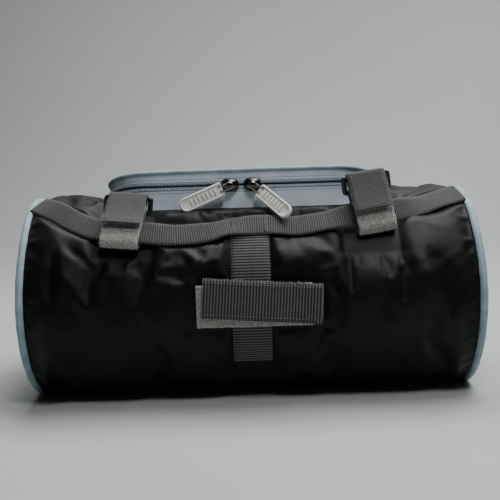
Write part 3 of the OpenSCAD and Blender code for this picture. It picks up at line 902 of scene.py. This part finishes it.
def roughen(pile, seed, wave, depth):
    """Lumps in the surface of a pile, along its normals."""
    co = np.array([p.co for p in pile.data.vertices]) / MM
    lump = ripple(co, seed, wave, 3) * depth
    normals = np.array([p.normal for p in pile.data.vertices])
    for vert, shift in zip(pile.data.vertices, normals * lump[:, None] * MM):
        vert.co += Vector(shift)


# ---------- lid ----------

def outline_points(inset=0.0, step=1.0):
    """The lid's outline in plan, from the middle of its back round the left to the back again,
    with outward directions: rows of x, y, nx, ny."""
    cx, cy = (LID_LEFT + LID_RIGHT) / 2, (LID_FRONT + LID_BACK) / 2
    hx, hy = (LID_RIGHT - LID_LEFT) / 2 - LID_CORNER, (LID_BACK - LID_FRONT) / 2 - LID_CORNER
    r = LID_CORNER - inset
    pts = [[cx, cy + hy + r, 0, 1]]
    for start, sx, sy in ((90, -1, 1), (180, -1, -1), (270, 1, -1), (0, 1, 1)):
        for a in np.radians(np.linspace(start, start + 90, 40)):
            pts.append([cx + sx * hx + r * math.cos(a), cy + sy * hy + r * math.sin(a),
                        math.cos(a), math.sin(a)])
    pts.append(pts[0])
    fine, run = resample(np.array(pts), step)
    fine[:, 2:] = unit(fine[:, 2:])
    return fine, run


def wall_wave(run):
    return 0.35 * np.sin(run / 19) + 0.25 * np.sin(run / 7.3 + 1)


def wall_piece(name, low_of, high_of, keep, material, body, flare=None, step=1.0, levels=9):
    """A stretch of the lid's wall as thin cloth, between two heights."""
    fine, run = outline_points(0, step)
    rows = keep(fine)
    fine, run = fine[rows], run[rows]
    low, high = low_of(fine), high_of(fine)
    share = np.linspace(0, 1, levels)
    sheets = []
    for depth in (0.0, TAPE_T):
        z = low[:, None] + (high - low)[:, None] * share[None, :]
        out = wall_wave(run)[:, None] * 0.4 - depth + np.zeros_like(z)
        if flare is not None:
            out = out + flare(share, run)
        x = fine[:, :1] + fine[:, 2:3] * out
        y = fine[:, 1:2] + fine[:, 3:4] * out
        sheets.append(np.stack([x, y, z], 2))
    both = np.concatenate([sheets[0], sheets[1][:, ::-1]], 1)
    sides = 2 * levels
    height = np.concatenate([sheets[0][..., 2], sheets[1][:, ::-1, 2]], 1).ravel()
    uvs = np.stack([np.repeat(run, sides), height - np.repeat(split_z(fine[:, 1]), sides)], 1)
    return make(name, both.reshape(-1, 3), capped_grid(len(fine), sides), material, body, uvs)


def surface_z(y):
    return AXIS_Z + np.sqrt(RADIUS ** 2 - y ** 2)


def front_rows(fine):
    return fine[:, 1] < ZIP_END


def zip_pieces():
    def low_flare(share, run):
        pucker = 0.5 + 0.5 * np.sin(run / 2.1) * np.sin(run / 9)
        return ((1 - share) ** 3)[None, :] * (1.1 + 0.7 * pucker)[:, None]

    def high_flare(share, run):
        return (-0.25 * np.sin(share * math.pi))[None, :] * np.ones(len(run))[:, None]

    lower = wall_piece("zip_tape_below", lambda f: surface_z(f[:, 1]) - 2.5,
                       lambda f: split_z(f[:, 1]) - ZIP_GAP, front_rows, TAPE, "bag",
                       low_flare)
    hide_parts("zip_tape_lower")
    upper = wall_piece("zip_tape_above", lambda f: split_z(f[:, 1]) + ZIP_GAP,
                       lambda f: top_z(f[:, 1], f[:, 0]) + 0.4, front_rows, TAPE, "lid",
                       high_flare)
    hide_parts("zip_tape_upper")
    for body, sign, part in (("bag", -1, "lower"), ("lid", 1, "upper")):
        coil_piece(body, sign, part)


def coil_piece(body, sign, part):
    """The sewn coil: stitch bars that show outside, and the coil's own turns inside."""
    pitch = 1.55
    fine, run = outline_points(0, pitch)
    rows = front_rows(fine)
    fine, run = fine[rows], run[rows]
    outside, inside = [], []
    for (x, y, nx, ny), s in zip(fine, run):
        z = split_z(y)
        wave = wall_wave(np.array([s]))[0] * 0.4
        along = np.array([-ny, nx, 0]) * 0.2
        base = np.array([x + nx * (wave + 0.25), y + ny * (wave + 0.25), z + sign * 1.15])
        out = np.array([nx, ny, 0])
        tip = base + np.array([0, 0, sign * 1.4])
        outside.append(stitch(base - along, tip + along, out, 0.3))
        d = TAPE_T + 0.2
        turn = []
        for q in np.radians((0, 60, 120, 180, 240, 300)):
            turn.append([x - nx * (d + 0.65 - 0.6 * math.cos(q)), y - ny * (d + 0.65 - 0.6 * math.cos(q)),
                         z + sign * (ZIP_GAP + 1.15 + 1.1 * math.sin(q))])
        inside.append(tube(np.array(turn) + along * 0.6, 0.26, 5, closed=True))
    joined("zip_stitching_" + part, outside, COIL, body)
    coil = joined("zip_coil_turns_" + part, inside, COIL, body)
    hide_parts("zip_coil_" + part)


def lid_cushion():
    """The lid's padded top, crowned in the middle."""
    edge, _ = outline_points(TAPE_T - 0.4, 1.6)
    edge = edge[:-1]
    count, rings = len(edge), 24
    cx, cy = (LID_LEFT + LID_RIGHT) / 2, (LID_FRONT + LID_BACK) / 2
    centre = np.array([cx, cy])
    layers = []
    for top in (True, False):
        pts = []
        for k in range(rings):
            share = 1 - k / rings
            ring = centre + (edge[:, :2] - centre) * share
            z = top_z(ring[:, 1], ring[:, 0])
            if top:
                crown = 2.6 * (1 - share ** 2.4)
                creases = 0.55 * ripple(ring, 31, 34, 3) * (1 - share ** 8)
                pucker = 0.25 * np.sin(np.arange(count) * 0.9) * share ** 8
                z = z + crown + creases + pucker * (share < 0.99) - 0.1
            else:
                z = z - SKIN_T
            pts.append(np.column_stack([ring, z]))
        z_mid = top_z(cy, cx) + (2.5 if top else -SKIN_T)
        pts.append(np.array([[cx, cy, z_mid]]))
        layers.append(np.concatenate(pts))
    verts = np.concatenate(layers)
    obj = make("lid_cushion", verts, shell_faces(rings, count), NYLON, "lid", verts[:, :2])
    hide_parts("lid_panel")
    r = 1.5
    path, run = outline_points(-0.2, 1.4)
    path, run = path[:-1], run[:-1]
    z = top_z(path[:, 1], path[:, 0]) + r * 0.8
    pts = np.column_stack([path[:, :2] - path[:, 2:] * 0.5, z])
    verts, faces = tube(pts, r * (0.97 + 0.05 * np.sin(run * 1.3)), 14, closed=True)
    pipe = make("lid_edge_piping", verts, faces, PIPING, "lid")
    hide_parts("lid_piping")


def back_wall():
    """Plain cloth at the back, from the barrel up to the lid's top edge."""
    keep = ~front_rows(outline_points(0, 1.0)[0])
    fine, run = outline_points(0, 1.0)
    order = np.argsort(np.where(run < run[-1] / 2, run + run[-1], run), kind="stable")
    order = [k for k in order if keep[k]]
    fine, run = fine[order], np.arange(len(order)) * 1.0
    low, high = surface_z(fine[:, 1]) - 2.5, top_z(fine[:, 1], fine[:, 0]) + 0.4
    levels = 24
    share = np.linspace(0, 1, levels)
    sheets = []
    for depth in (0.0, TAPE_T):
        z = low[:, None] + (high - low)[:, None] * share[None, :]
        out = 0.25 * np.sin(run / 6)[:, None] * np.sin(share * math.pi)[None, :] - depth
        sheets.append(np.stack([fine[:, :1] + fine[:, 2:3] * out, fine[:, 1:2] + fine[:, 3:4] * out, z], 2))
    both = np.concatenate([sheets[0], sheets[1][:, ::-1]], 1)
    sides = 2 * levels
    uvs = np.stack([np.repeat(run, sides), both[..., 2].ravel()], 1)
    obj = make("lid_back_cloth", both.reshape(-1, 3), capped_grid(len(fine), sides), NYLON, None,
               uvs)
    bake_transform(obj)
    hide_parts("back_gusset", "lid_back_gusset")


# ---------- sliders and pulls ----------

def superellipse(w, d, power, count=48):
    a = np.linspace(0, 2 * math.pi, count, endpoint=False)
    c, s = np.cos(a), np.sin(a)
    return np.stack([np.sign(c) * np.abs(c) ** (2 / power) * w / 2,
                     np.sign(s) * np.abs(s) ** (2 / power) * d / 2], 1)


def lathe_stack(levels, count=48):
    """Verts and faces of stacked outlines: levels of (width, depth, power, height, shift)."""
    rings = []
    for w, d, power, z, shift in levels:
        ring = superellipse(w, d, power, count)
        rings.append(np.column_stack([ring[:, 0] + shift, ring[:, 1], np.full(count, z)]))
    return np.concatenate(rings), capped_grid(len(levels), count)


def placed(verts, origin, ex, ey, ez):
    verts = np.asarray(verts, float)
    return origin + verts[:, :1] * ex + verts[:, 1:2] * ey + verts[:, 2:3] * ez


def slider_piece(name, sign):
    """A domed zip slider with its nose towards the middle of the zip."""
    pos = np.array(joint(f"bail_{name}_swing")["pos_m"]) / MM
    origin = np.array([pos[0], LID_FRONT, pos[2]])
    ex, ey, ez = np.array([-float(sign), 0, 0]), np.array([0, 0, 1.0]), np.array([0, -1.0, 0])
    plate = lathe_stack([(10.6, 8.0, 3, 0.3, 0), (11.4, 8.8, 3, 0.6, 0), (11.6, 9.0, 3, 1.0, 0),
                         (11.2, 8.6, 3, 1.4, 0), (10.6, 8.0, 2.8, 1.6, 0)])
    dome = lathe_stack([(10.6, 8.3, 2.4, 1.4, 0), (10.5, 8.2, 2.3, 1.9, 0), (9.8, 7.7, 2.2, 2.6, 0),
                        (8.2, 6.4, 2.1, 3.2, 0), (5.6, 4.6, 2, 3.6, 0), (2.4, 2.2, 2, 3.75, 0)])
    post = lathe_stack([(2.0, 2.0, 2, 3.4, 0), (2.0, 2.0, 2, 5.0, 0)], 24)
    cap = lathe_stack([(3.4, 3.4, 2, 4.98, 0), (3.9, 3.9, 2, 5.2, 0), (3.7, 3.7, 2, 5.55, 0),
                       (2.6, 2.6, 2, 5.8, 0), (1.0, 1.0, 2, 5.9, 0)], 32)
    inner = lathe_stack([(9.4, 2.6, 3, -3.2, 0), (9.8, 3.0, 3, -3.5, 0), (9.4, 2.6, 3, -4.0, 0)])
    inner[0][:, 1] -= 2.6
    neck = lathe_stack([(3.0, 0.5, 4, 0.5, 2), (2.6, 0.4, 4, -1.6, 2), (3.0, 0.5, 4, -3.3, 2)], 16)
    neck[0][:, 1] += neck[0][:, 2] * 0.3
    chunks = [(placed(v, origin, ex, ey, ez), f) for v, f in (plate, dome, post, cap, inner, neck)]
    obj = joined("zip_slider_" + name, chunks, GUNMETAL, "slider_" + name)
    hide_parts("slider_" + name)


def pull_pieces(name):
    post = np.array(joint(f"bail_{name}_swing")["pos_m"]) / MM
    tilt = joint(f"pull_{name}_tilt")
    pin = np.array(tilt["pos_m"]) / MM
    along = unit(pin - post)
    out = np.array([0, -1.0, 0])
    side = np.cross(out, along)
    reach = np.linalg.norm(pin - post)
    # Wire bail: a long loop round the slider's post and through the tab
    half, near = 2.0, -1.9
    loop = np.concatenate([arc((near + half, 0), half, 90, 270, 12),
                           arc((reach - 0.5, -half + 0.5), 0.5, 270, 360, 5),
                           arc((reach - 0.5, half - 0.5), 0.5, 0, 90, 5)])
    loop, _ = resample(np.concatenate([loop, loop[:1]]), 0.5)
    verts, faces = tube(np.column_stack([loop[:-1], np.zeros(len(loop) - 1)]), 0.48, 10, closed=True)
    obj = make("wire_bail_" + name, placed(verts, post, along, side, out), faces, WIRE,
               "bail_" + name)
    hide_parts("bail_" + name)
    tab_piece(name, pin, out, unit(tilt["axis"]))


def tab_piece(name, pin, out, axis):
    """A moulded tab with a rounded end, a raised rim and plain ribs."""
    mesh = frame["nodes"]["pull_tab_" + name].data
    co = np.array([v.co for v in mesh.vertices]) / MM
    # The tab's own length direction: from the pin to the middle of its far end
    far = co[np.argsort(np.linalg.norm(co - pin, axis=1))[-12:]].mean(0)
    ex = unit(far - pin - axis * np.dot(far - pin, axis))
    ez = unit(np.cross(axis, ex))
    ez = ez if np.dot(ez, out) > 0 else -ez
    ey = np.cross(ez, ex)
    length = max((co - pin) @ ex)
    width, thick, back = 9.6, 3.2, -1.7

    def outline(inset, count=22):
        r = width / 2 - inset
        c = 0.9
        pts = [arc((back + inset + c, width / 2 - inset - c), c, 90, 180, 5),
               arc((back + inset + c, -width / 2 + inset + c), c, 180, 270, 5),
               arc((length - width / 2, 0), r, -90, 90, count)]
        return np.concatenate(pts)

    top = thick / 2
    floor = top - 0.9
    levels = [(0.55, -top), (0.15, 0.25 - top), (0, 0.7 - top), (0, top - 0.7), (0.15, top - 0.25),
              (0.5, top), (1.0, top), (1.25, top - 0.3), (1.4, floor + 0.1), (1.6, floor)]
    rings = [np.column_stack([outline(i), np.full(len(outline(i)), z)]) for i, z in levels]
    obj = make("zip_pull_" + name, placed(np.concatenate(rings), pin, ex, ey, ez),
               capped_grid(len(levels), len(rings[0])), PULL, "pull_" + name)
    cut_slots(obj, pin, ex, ey, ez, back)
    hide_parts("pull_tab_" + name)
    ribs = []
    for k in range(7):
        x = 3.9 + k * 2.9
        verts, faces = lathe_stack([(1.5, width - 4.2, 5, floor - 0.1, x),
                                    (1.4, width - 4.3, 5, top - 0.25, x),
                                    (1.0, width - 4.7, 5, top, x)], 24)
        ribs.append((placed(verts, pin, ex, ey, ez), faces))
    joined("zip_pull_ribs_" + name, ribs, PULL, "pull_" + name)


def cut_slots(obj, pin, ex, ey, ez, back):
    """Cuts the two slots that the wire bail enters."""
    parts = []
    for s in (-1, 1):
        slot = lathe_stack([(4.4, 1.5, 8, -4, back + 0.6), (4.4, 1.5, 8, 4, back + 0.6)], 24)
        slot[0][:, 1] += s * 2.0
        parts.append((placed(slot[0], pin, ex, ey, ez), slot[1]))
    tool = joined("slot_cutter", parts, PULL)
    cut = obj.modifiers.new("slots", "BOOLEAN")
    cut.object = tool
    cut.operation = "DIFFERENCE"
    cut.solver = "EXACT"
    parent, obj.parent = obj.parent, None
    bake_modifiers(obj)
    bpy.data.objects.remove(tool)
    obj.parent = parent
    obj.data.polygons.foreach_set("use_smooth", [True] * len(obj.data.polygons))
    soften_edges(obj, 35)


def soften_edges(obj, angle):
    obj.data.set_sharp_from_angle(angle=math.radians(angle))


# ---------- cinch straps ----------

# The strap's side view, in the local frame of each strap: up the strap, and away from the bag
ROOM = 2.3
TURN_LOW = -8.4
RING_LOW = (16.5, -0.85)
RING_HIGH = (25.5, 5.15)
BAR_ROOM = 1.45
PILE_T = 1.4
MOUNT_UP = 12
FLAP_END = 0
MID = ROOM + WEB_T / 2
BAR_MID = BAR_ROOM + WEB_T / 2
FLAP_OUT = RING_HIGH[1] + BAR_MID


def cinch_axes(name):
    """Origin and unit directions (across, up, out) of a cinch strap, from its joint and mount."""
    peel = joint(f"cinch_{name}_peel")
    pivot = np.array(peel["pos_m"]) / MM
    u = -unit(peel["axis"])
    m = np.array(mount("cinch_" + name)["pos_m"]) / MM
    a, b = RING_HIGH[0] - MOUNT_UP, FLAP_OUT
    d = pivot - m
    d = d - u * np.dot(d, u)
    v = unit(a * d - b * np.cross(u, d))
    w = np.cross(u, v)
    return m - MOUNT_UP * v, u, v, w


def cinch_pieces(name, seed):
    origin, u, v, w = cinch_axes(name)
    body, flap_body = "cinch_" + name, "cinch_flap_" + name
    sway, curl_out = (0.5, 2.0) if name == "left" else (-0.5, 1.4)

    def peel_share(up):
        return np.clip((18 - up) / (18 - FLAP_END), 0, 1)

    def at(up, out, across=0.0):
        return origin + up * v + out * w + across * u

    strap_path = np.concatenate([
        [[9.6, -1.6]], [[10.8, -1.2]], [[15.6, RING_LOW[1] + BAR_MID - 0.2]],
        arc(RING_LOW, BAR_MID, 80, -90, 14), [[0, -MID - 0.2]],
        arc((TURN_LOW, 0), MID, -90, -270, 20), [[4, MID + 0.1]], [[RING_HIGH[0] - 0.8, MID]]])
    strap = plane_ribbon("cinch_strap_" + name, strap_path, origin, v, w, u, STRAP_W, FINE_PITCH, 0.12,
                         FINE_WEB, body)
    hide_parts("cinch_web_" + name)

    def curl(fine, centre, along, side):
        down = peel_share(fine[:, 0]) * (fine[:, 1] > FLAP_OUT - 1)
        centre = centre + w * (curl_out * down ** 2)[:, None] + u * (sway * down)[:, None]
        return centre, unit(np.gradient(centre, axis=0)), side

    flap_path = np.concatenate([
        [[RING_HIGH[0] - 0.8, MID]], arc(RING_HIGH, BAR_MID, -90, 90, 18), [[18, FLAP_OUT]],
        [[FLAP_END, FLAP_OUT]]])
    flap = plane_ribbon("cinch_fold_" + name, flap_path, origin, v, w, u, STRAP_W, FINE_PITCH, 0.12,
                        FINE_WEB, None, twist=curl)
    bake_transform(flap)
    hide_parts("cinch_flap_" + name)

    top = FLAP_OUT + WEB_T / 2 - 0.02
    rows = []
    ups = np.linspace(RING_HIGH[0] - 1, FLAP_END + 2, 30)
    for across in (-STRAP_W / 2 + 2.4, STRAP_W / 2 - 2.4, 3.2):
        rows += stitch_row([at(up, top + curl_out * peel_share(up) ** 2, across + sway * peel_share(up))
                            for up in ups], w)
    up = FLAP_END + 2.2
    rows += stitch_row([at(up, top + curl_out * peel_share(up) ** 2, a)
                        for a in np.linspace(-STRAP_W / 2 + 2.4, STRAP_W / 2 - 2.4, 20)], w)
    seams = joined("cinch_seams_" + name, rows, THREAD, None)
    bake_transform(seams)

    loop_piece(name, origin, u, v, w, body, seed)
    hook_pad("cinch_hook_pad_" + name, at, STRAP_W - 2, FLAP_END + 6, FLAP_END + 17,
             FLAP_OUT - WEB_T / 2 - PILE_T + 0.1, flap_body, "cinch_hook_" + name, seed)
    ring_piece(name, origin, u, v, w, body)
    frays(name, at, u, v, w, flap_body, seed)


def loop_piece(name, origin, u, v, w, body, seed):
    """The fluffy loop tape on the strap's front and round its lower fold."""
    mid = ROOM + WEB_T + PILE_T / 2
    path = np.concatenate([arc((TURN_LOW, 0), mid, -175, -270, 14), [[19, mid]]])
    pile = plane_ribbon("cinch_pile_" + name, path, origin, v, w, u, STRAP_W - 0.6, 1.2, 0.1, PILE, body,
                        thick=PILE_T, cols=25)
    roughen(pile, seed, 3.0, 0.22)
    fine, _ = resample(path, 0.5)
    n = int(len(fine) * 0.62)

    def place(s, t):
        k = min(int(s * n), n - 1)
        tangent = unit(fine[min(k + 1, len(fine) - 1)] - fine[max(k - 1, 0)])
        out2 = np.array([-tangent[1], tangent[0]])
        p = fine[k] + out2 * PILE_T * 0.45
        out = out2[0] * v + out2[1] * w
        return origin + p[0] * v + p[1] * w + (t - 0.5) * (STRAP_W - 0.8) * u, out

    joined("cinch_fluff_" + name, fluff(place, 900, 1.1, seed), PILE, body)
    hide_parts("cinch_loop_" + name)


def hook_pad(name, at, width, low, high, out, body, node, seed):
    """A pad of hook tape: a thin base with rows of small hooks."""
    w0, w1 = at(0, 1) - at(0, 0), at(0, 0, 1) - at(0, 0, 0)
    corners = [(low, -width / 2), (high, -width / 2), (high, width / 2), (low, width / 2)]
    base = np.array([at(a, out + PILE_T - 0.7, b) for a, b in corners]
                    + [at(a, out + PILE_T, b) for a, b in corners])
    chunks = [(base, [(0, 1, 2, 3), (4, 5, 6, 7), (0, 1, 5, 4), (1, 2, 6, 5), (2, 3, 7, 6), (3, 0, 4, 7)])]
    rng = np.random.default_rng(seed)
    for a in np.arange(low + 1, high - 0.5, 1.6):
        for b in np.arange(-width / 2 + 1, width / 2 - 0.5, 1.6):
            foot = at(a, out + PILE_T - 0.65, b)
            lean = w1 * rng.uniform(-0.3, 0.3)
            chunks.append(tube(np.array([foot, foot - w0 * 0.4, foot - w0 * 0.6 + lean]), 0.16, 4))
    obj = joined(name, chunks, HOOK, body, smooth=False)
    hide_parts(node)


def ring_piece(name, origin, u, v, w, body):
    """The flat moulded ring, with rounded bars."""
    low, high = np.array(RING_LOW), np.array(RING_HIGH)
    rise = high - low
    reach = np.linalg.norm(rise)
    e1 = unit(rise)[0] * v + unit(rise)[1] * w
    e2 = np.cross(u, e1)
    centre = origin + (low + high)[0] / 2 * v + (low + high)[1] / 2 * w
    slot, side_bar, bar = STRAP_W + 1, 3.2, 2.0
    outer = superellipse(slot + 2 * side_bar, reach + bar, 7, 96)
    inner = superellipse(slot, reach - bar, 9, 96)
    t = bar / 2
    rings = [(outer * 0.985, -t), (outer, -t * 0.6), (outer, t * 0.6), (outer * 0.985, t),
             (inner * 1.02, t), (inner, t * 0.6), (inner, -t * 0.6), (inner * 1.02, -t)]
    verts = np.concatenate([np.column_stack([p, np.full(len(p), z)]) for p, z in rings])
    faces = grid_faces(len(rings), 96, wrap_rows=True, wrap_cols=True)
    obj = make("cinch_buckle_" + name, placed(verts, centre, u, e1, e2), faces, BLACK_PLASTIC, body)
    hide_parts("cinch_ring_" + name)


def frays(name, at, u, v, w, body, seed):
    rng = np.random.default_rng(seed + 50)
    chunks = []
    for k in range(26):
        side = -1 if rng.uniform() < 0.5 else 1
        start = at(rng.uniform(FLAP_END, 21), FLAP_OUT + 0.2, side * (STRAP_W / 2 - 0.2))
        chunks.append(stray_thread(start, side * u + w * 0.4 - v * rng.uniform(0, 0.8),
                                   rng.uniform(1.0, 2.6), seed * 100 + k, 0.08))
    for k in range(14):
        start = at(FLAP_END, FLAP_OUT + 1.6, rng.uniform(-STRAP_W / 2, STRAP_W / 2))
        chunks.append(stray_thread(start, -v + w * 0.3, rng.uniform(0.8, 2.4), seed * 200 + k, 0.08))
    joined("cinch_frays_" + name, chunks, PALE_THREAD, body)


# ---------- middle tether ----------

TETHER_T = 1.3
TETHER_TURN = 1.35
TETHER_BASE = 76.5
TETHER_LEN = 73
TETHER_TILT = 4.5
TETHER_MOUNT = (37, 1.65)
TETHER_OUT = TETHER_T * 1.5 + 2 * TETHER_TURN


def tether_axes():
    """Fold origin, and unit directions along the barrel, up and out, square to the base strip."""
    peel = joint("tether_peel")
    pivot = np.array(peel["pos_m"]) / MM
    v = unit(peel["axis"])
    m = np.array(mount("tether")["pos_m"]) / MM
    d = pivot - m
    d = d - v * np.dot(d, v)
    a, b = TETHER_MOUNT
    u = unit(a * d + b * np.cross(v, d))
    w = np.cross(u, v)
    t = math.radians(TETHER_TILT)
    straight_u = u * math.cos(t) + v * math.sin(t)
    straight_v = v * math.cos(t) - u * math.sin(t)
    return pivot - TETHER_OUT * w, straight_u, straight_v, w, u, v


def tether_pieces():
    origin, u, v, w, tu, tv = tether_axes()
    base_path = [[-TETHER_BASE, TETHER_T / 2], [0.5, TETHER_T / 2]]
    base = plane_ribbon("tether_strip", base_path, origin, u, w, v, STRAP_W, FINE_PITCH, 0.12, FINE_WEB,
                        "bag", thick=TETHER_T)
    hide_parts("tether_base")

    centre2 = (0.0, TETHER_T + TETHER_TURN)
    mid = TETHER_TURN + TETHER_T / 2
    path = np.concatenate([[[0.2, TETHER_T / 2]], arc(centre2, mid, -85, 90, 18), [[-20, TETHER_OUT]],
                           [[-TETHER_LEN, TETHER_OUT]]])

    def tilt(fine, centre, along, side):
        share = np.clip((fine[:, 1] - TETHER_T / 2) / (TETHER_OUT - TETHER_T / 2), 0, 1)
        share = np.where(fine[:, 0] < -0.5, 1, share)[:, None]
        e1 = unit(u * (1 - share) + tu * share)
        e2 = unit(v * (1 - share) + tv * share)
        sag = 0.35 * np.sin(fine[:, :1] / 9) * (fine[:, :1] < -4)
        centre = origin + fine[:, :1] * e1 + (fine[:, 1:2] + sag) * w
        return centre, unit(np.gradient(centre, axis=0)), e2

    flap = plane_ribbon("tether_fold", path, origin, u, w, v, STRAP_W, BASKET_PITCH, 0.22, BASKET_WEB,
                        None, thick=TETHER_T, twist=tilt)
    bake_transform(flap)
    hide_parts("tether_flap")

    def at(along, out, across=0.0):
        return origin + along * tu + out * w + across * tv

    top = TETHER_OUT + TETHER_T / 2
    rows = []
    for s in (-1, 1):
        xs = np.linspace(-TETHER_LEN + 2.5, -5, 60)
        rows += stitch_row([at(x, top + 0.35 * math.sin(x / 9) - 0.02, s * (STRAP_W / 2 - 2.6))
                            for x in xs], w)
    rows += stitch_row([at(-TETHER_LEN + 2.4, top, a) for a in np.linspace(-10, 10, 20)], w)
    rows += stitch_row([at(-8, top - 0.1, a) for a in np.linspace(-10, 10, 20)], w)
    joined("tether_seams", rows, THREAD, "tether_flap")

    pile_mid = TETHER_T * 1.5
    pile = plane_ribbon("tether_pile", [[-TETHER_BASE, pile_mid], [-4, pile_mid]], origin, u, w, v,
                        STRAP_W + 1.4, 1.2, 0.1, PILE, "bag", thick=TETHER_T, cols=25)
    roughen(pile, 77, 3.2, 0.25)
    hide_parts("tether_loop")

    def place(s, t):
        x = -TETHER_BASE + (TETHER_BASE - 4) * s
        edge = s < 0.12 or t < 0.2
        across = (t - 0.5) * (STRAP_W + 1.2)
        out = w if edge else w * 0.6
        return origin + x * u + (pile_mid + 0.55) * w + across * v, out

    joined("tether_fluff", fluff(place, 1500, 1.2, 5), PILE, "bag")
    hook_pad("tether_hook_pad", lambda a, o, b=0.0: at(a, o, b), STRAP_W - 3, 1 - TETHER_LEN,
             41 - TETHER_LEN, TETHER_OUT - TETHER_T / 2 - TETHER_T, "tether_flap", "tether_hook", 9)
    rng = np.random.default_rng(91)
    chunks = []
    for k in range(90):
        s = 1 if rng.uniform() < 0.6 else -1
        x = rng.uniform(-TETHER_LEN, -6) if rng.uniform() < 0.6 else rng.uniform(-24, -6)
        chunks.append(stray_thread(at(x, TETHER_OUT + 0.1, s * (STRAP_W / 2 - 0.2)),
                                   s * v + w * rng.uniform(-0.2, 0.7) + u * rng.uniform(-0.7, 0.7),
                                   rng.uniform(0.8, 2.6), 900 + k, 0.08))
    joined("tether_frays", chunks, PALE_THREAD, "tether_flap")


def bar_tack_piece():
    """Dense zigzag stitching that holds the front webbing at the middle, and at its two ends."""
    rows = front_route()
    chunks = []
    for x0, span in ((-10, 1.6), (10, 1.6), (-138, 2.4), (138, 2.4)):
        k = int(np.argmin(np.abs(rows[:, 0] - x0)))
        centre = rows[k, :3]
        across = np.concatenate([[0], rows[k, 3:]])
        normal = unit(np.cross([1.0, 0, 0], across))
        for j, t in enumerate(np.linspace(-6.5, 6.5, 27)):
            s = 1 if j % 2 else -1
            p = centre + across * t + normal * (WEB_T / 2 + 0.02)
            q = centre + across * (t + 0.48) + normal * (WEB_T / 2 + 0.02)
            chunks.append(stitch(p + [s * span / 2, 0, 0], q - [s * span / 2, 0, 0], normal, 0.2))
    obj = joined("bar_tack_stitches", chunks, THREAD, "bag")
    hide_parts("bar_tacks")


# ---------- stage ----------

def stage():
    """A pale seamless sweep: floor, curve and back wall."""
    depth, wall, bend = 700, 1500, 500
    front = -2600
    ys, zs = [front], [0.0]
    for a in np.radians(np.linspace(0, 90, 24)):
        ys.append(depth + bend * math.sin(a))
        zs.append(bend * (1 - math.cos(a)))
    ys.append(depth + bend)
    zs.append(float(wall))
    xs = np.linspace(-2600, 2600, 3)
    verts = np.array([[x, y, z] for y, z in zip(ys, zs) for x in xs])
    m = Nodes("backdrop_paper", Roughness=0.9, Specular_IOR_Level=0.2)
    place = m.coords("Object")
    m.colour(m.ramp(m.noise(place, 1.5, 3), (0.42, 0.44, 0.435), (0.455, 0.475, 0.47)))
    floor = make("backdrop", verts, grid_faces(len(ys), 3), m.material)


def area_light(name, place, target, size, power, colour=(1, 1, 1)):
    light = bpy.data.lights.new(name, "AREA")
    light.shape = "RECTANGLE"
    light.size, light.size_y = size[0] * MM, size[1] * MM
    light.energy = power
    light.color = colour
    obj = bpy.data.objects.new(name, light)
    obj.location = Vector(place) * MM
    obj.rotation_mode = "QUATERNION"
    obj.rotation_quaternion = (Vector(target) - Vector(place)).to_track_quat("-Z", "Y")
    bpy.context.scene.collection.objects.link(obj)


def lights():
    area_light("overhead", (100, 130, 900), (0, 0, 70), (1000, 360), 11.5)
    area_light("key", (160, -480, 900), (0, 0, 90), (300, 200), 3.4)
    area_light("backdrop_light", (700, 600, 1300), (400, 1300, 400), (900, 600), 15)
    world = bpy.data.worlds.new("studio")
    world.use_nodes = True
    world.node_tree.nodes["Background"].inputs["Color"].default_value = (0.78, 0.82, 0.82, 1)
    world.node_tree.nodes["Background"].inputs["Strength"].default_value = 0.03
    bpy.context.scene.world = world


def camera():
    """The view of the photograph: from the front, ten degrees above the axis, tilted a little."""
    distance, climb, pitch, roll = 555, 10.0, 6.92, 1.8
    focal_share = 780 / 500
    data = bpy.data.cameras.new("camera")
    data.sensor_width = 36
    data.lens = 36 * focal_share
    obj = bpy.data.objects.new("camera", data)
    a = math.radians(climb)
    obj.location = (0, -distance * math.cos(a) * MM, (AXIS_Z + distance * math.sin(a)) * MM)
    look = Matrix.Rotation(math.radians(90 - pitch), 4, "X")
    spin = Matrix.Rotation(math.radians(-roll), 4, "Z")
    obj.rotation_mode = "QUATERNION"
    obj.rotation_quaternion = (look @ spin).to_quaternion()
    bpy.context.scene.collection.objects.link(obj)
    bpy.context.scene.camera = obj


def carried_over():
    """Materials of the CAD nodes that stay as they are."""
    looks = {"barrel_foam": FOAM, "barrel_lining": LINING, "lid_foam": FOAM, "lid_lining": LINING,
             "mouth_binding": BINDING, "zip_end_tabs": BINDING}
    for side in ("left", "right"):
        looks["end_foam_" + side] = FOAM
        looks["end_lining_" + side] = LINING
        looks["seam_binding_" + side] = BINDING
    for node, material in looks.items():
        mesh = frame["nodes"][node].data
        mesh.materials.clear()
        mesh.materials.append(material)


camera()
stage()
lights()
barrel_piece()
for end in (-1, 1):
    end_piece(end)
    piping_piece(end)
    end_handle(end)
front_webbing()
middle_webbing()
bar_tack_piece()
zip_pieces()
lid_cushion()
back_wall()
for which, direction in (("left", -1), ("right", 1)):
    slider_piece(which, direction)
    pull_pieces(which)
cinch_pieces("left", 3)
cinch_pieces("right", 4)
tether_pieces()
carried_over()
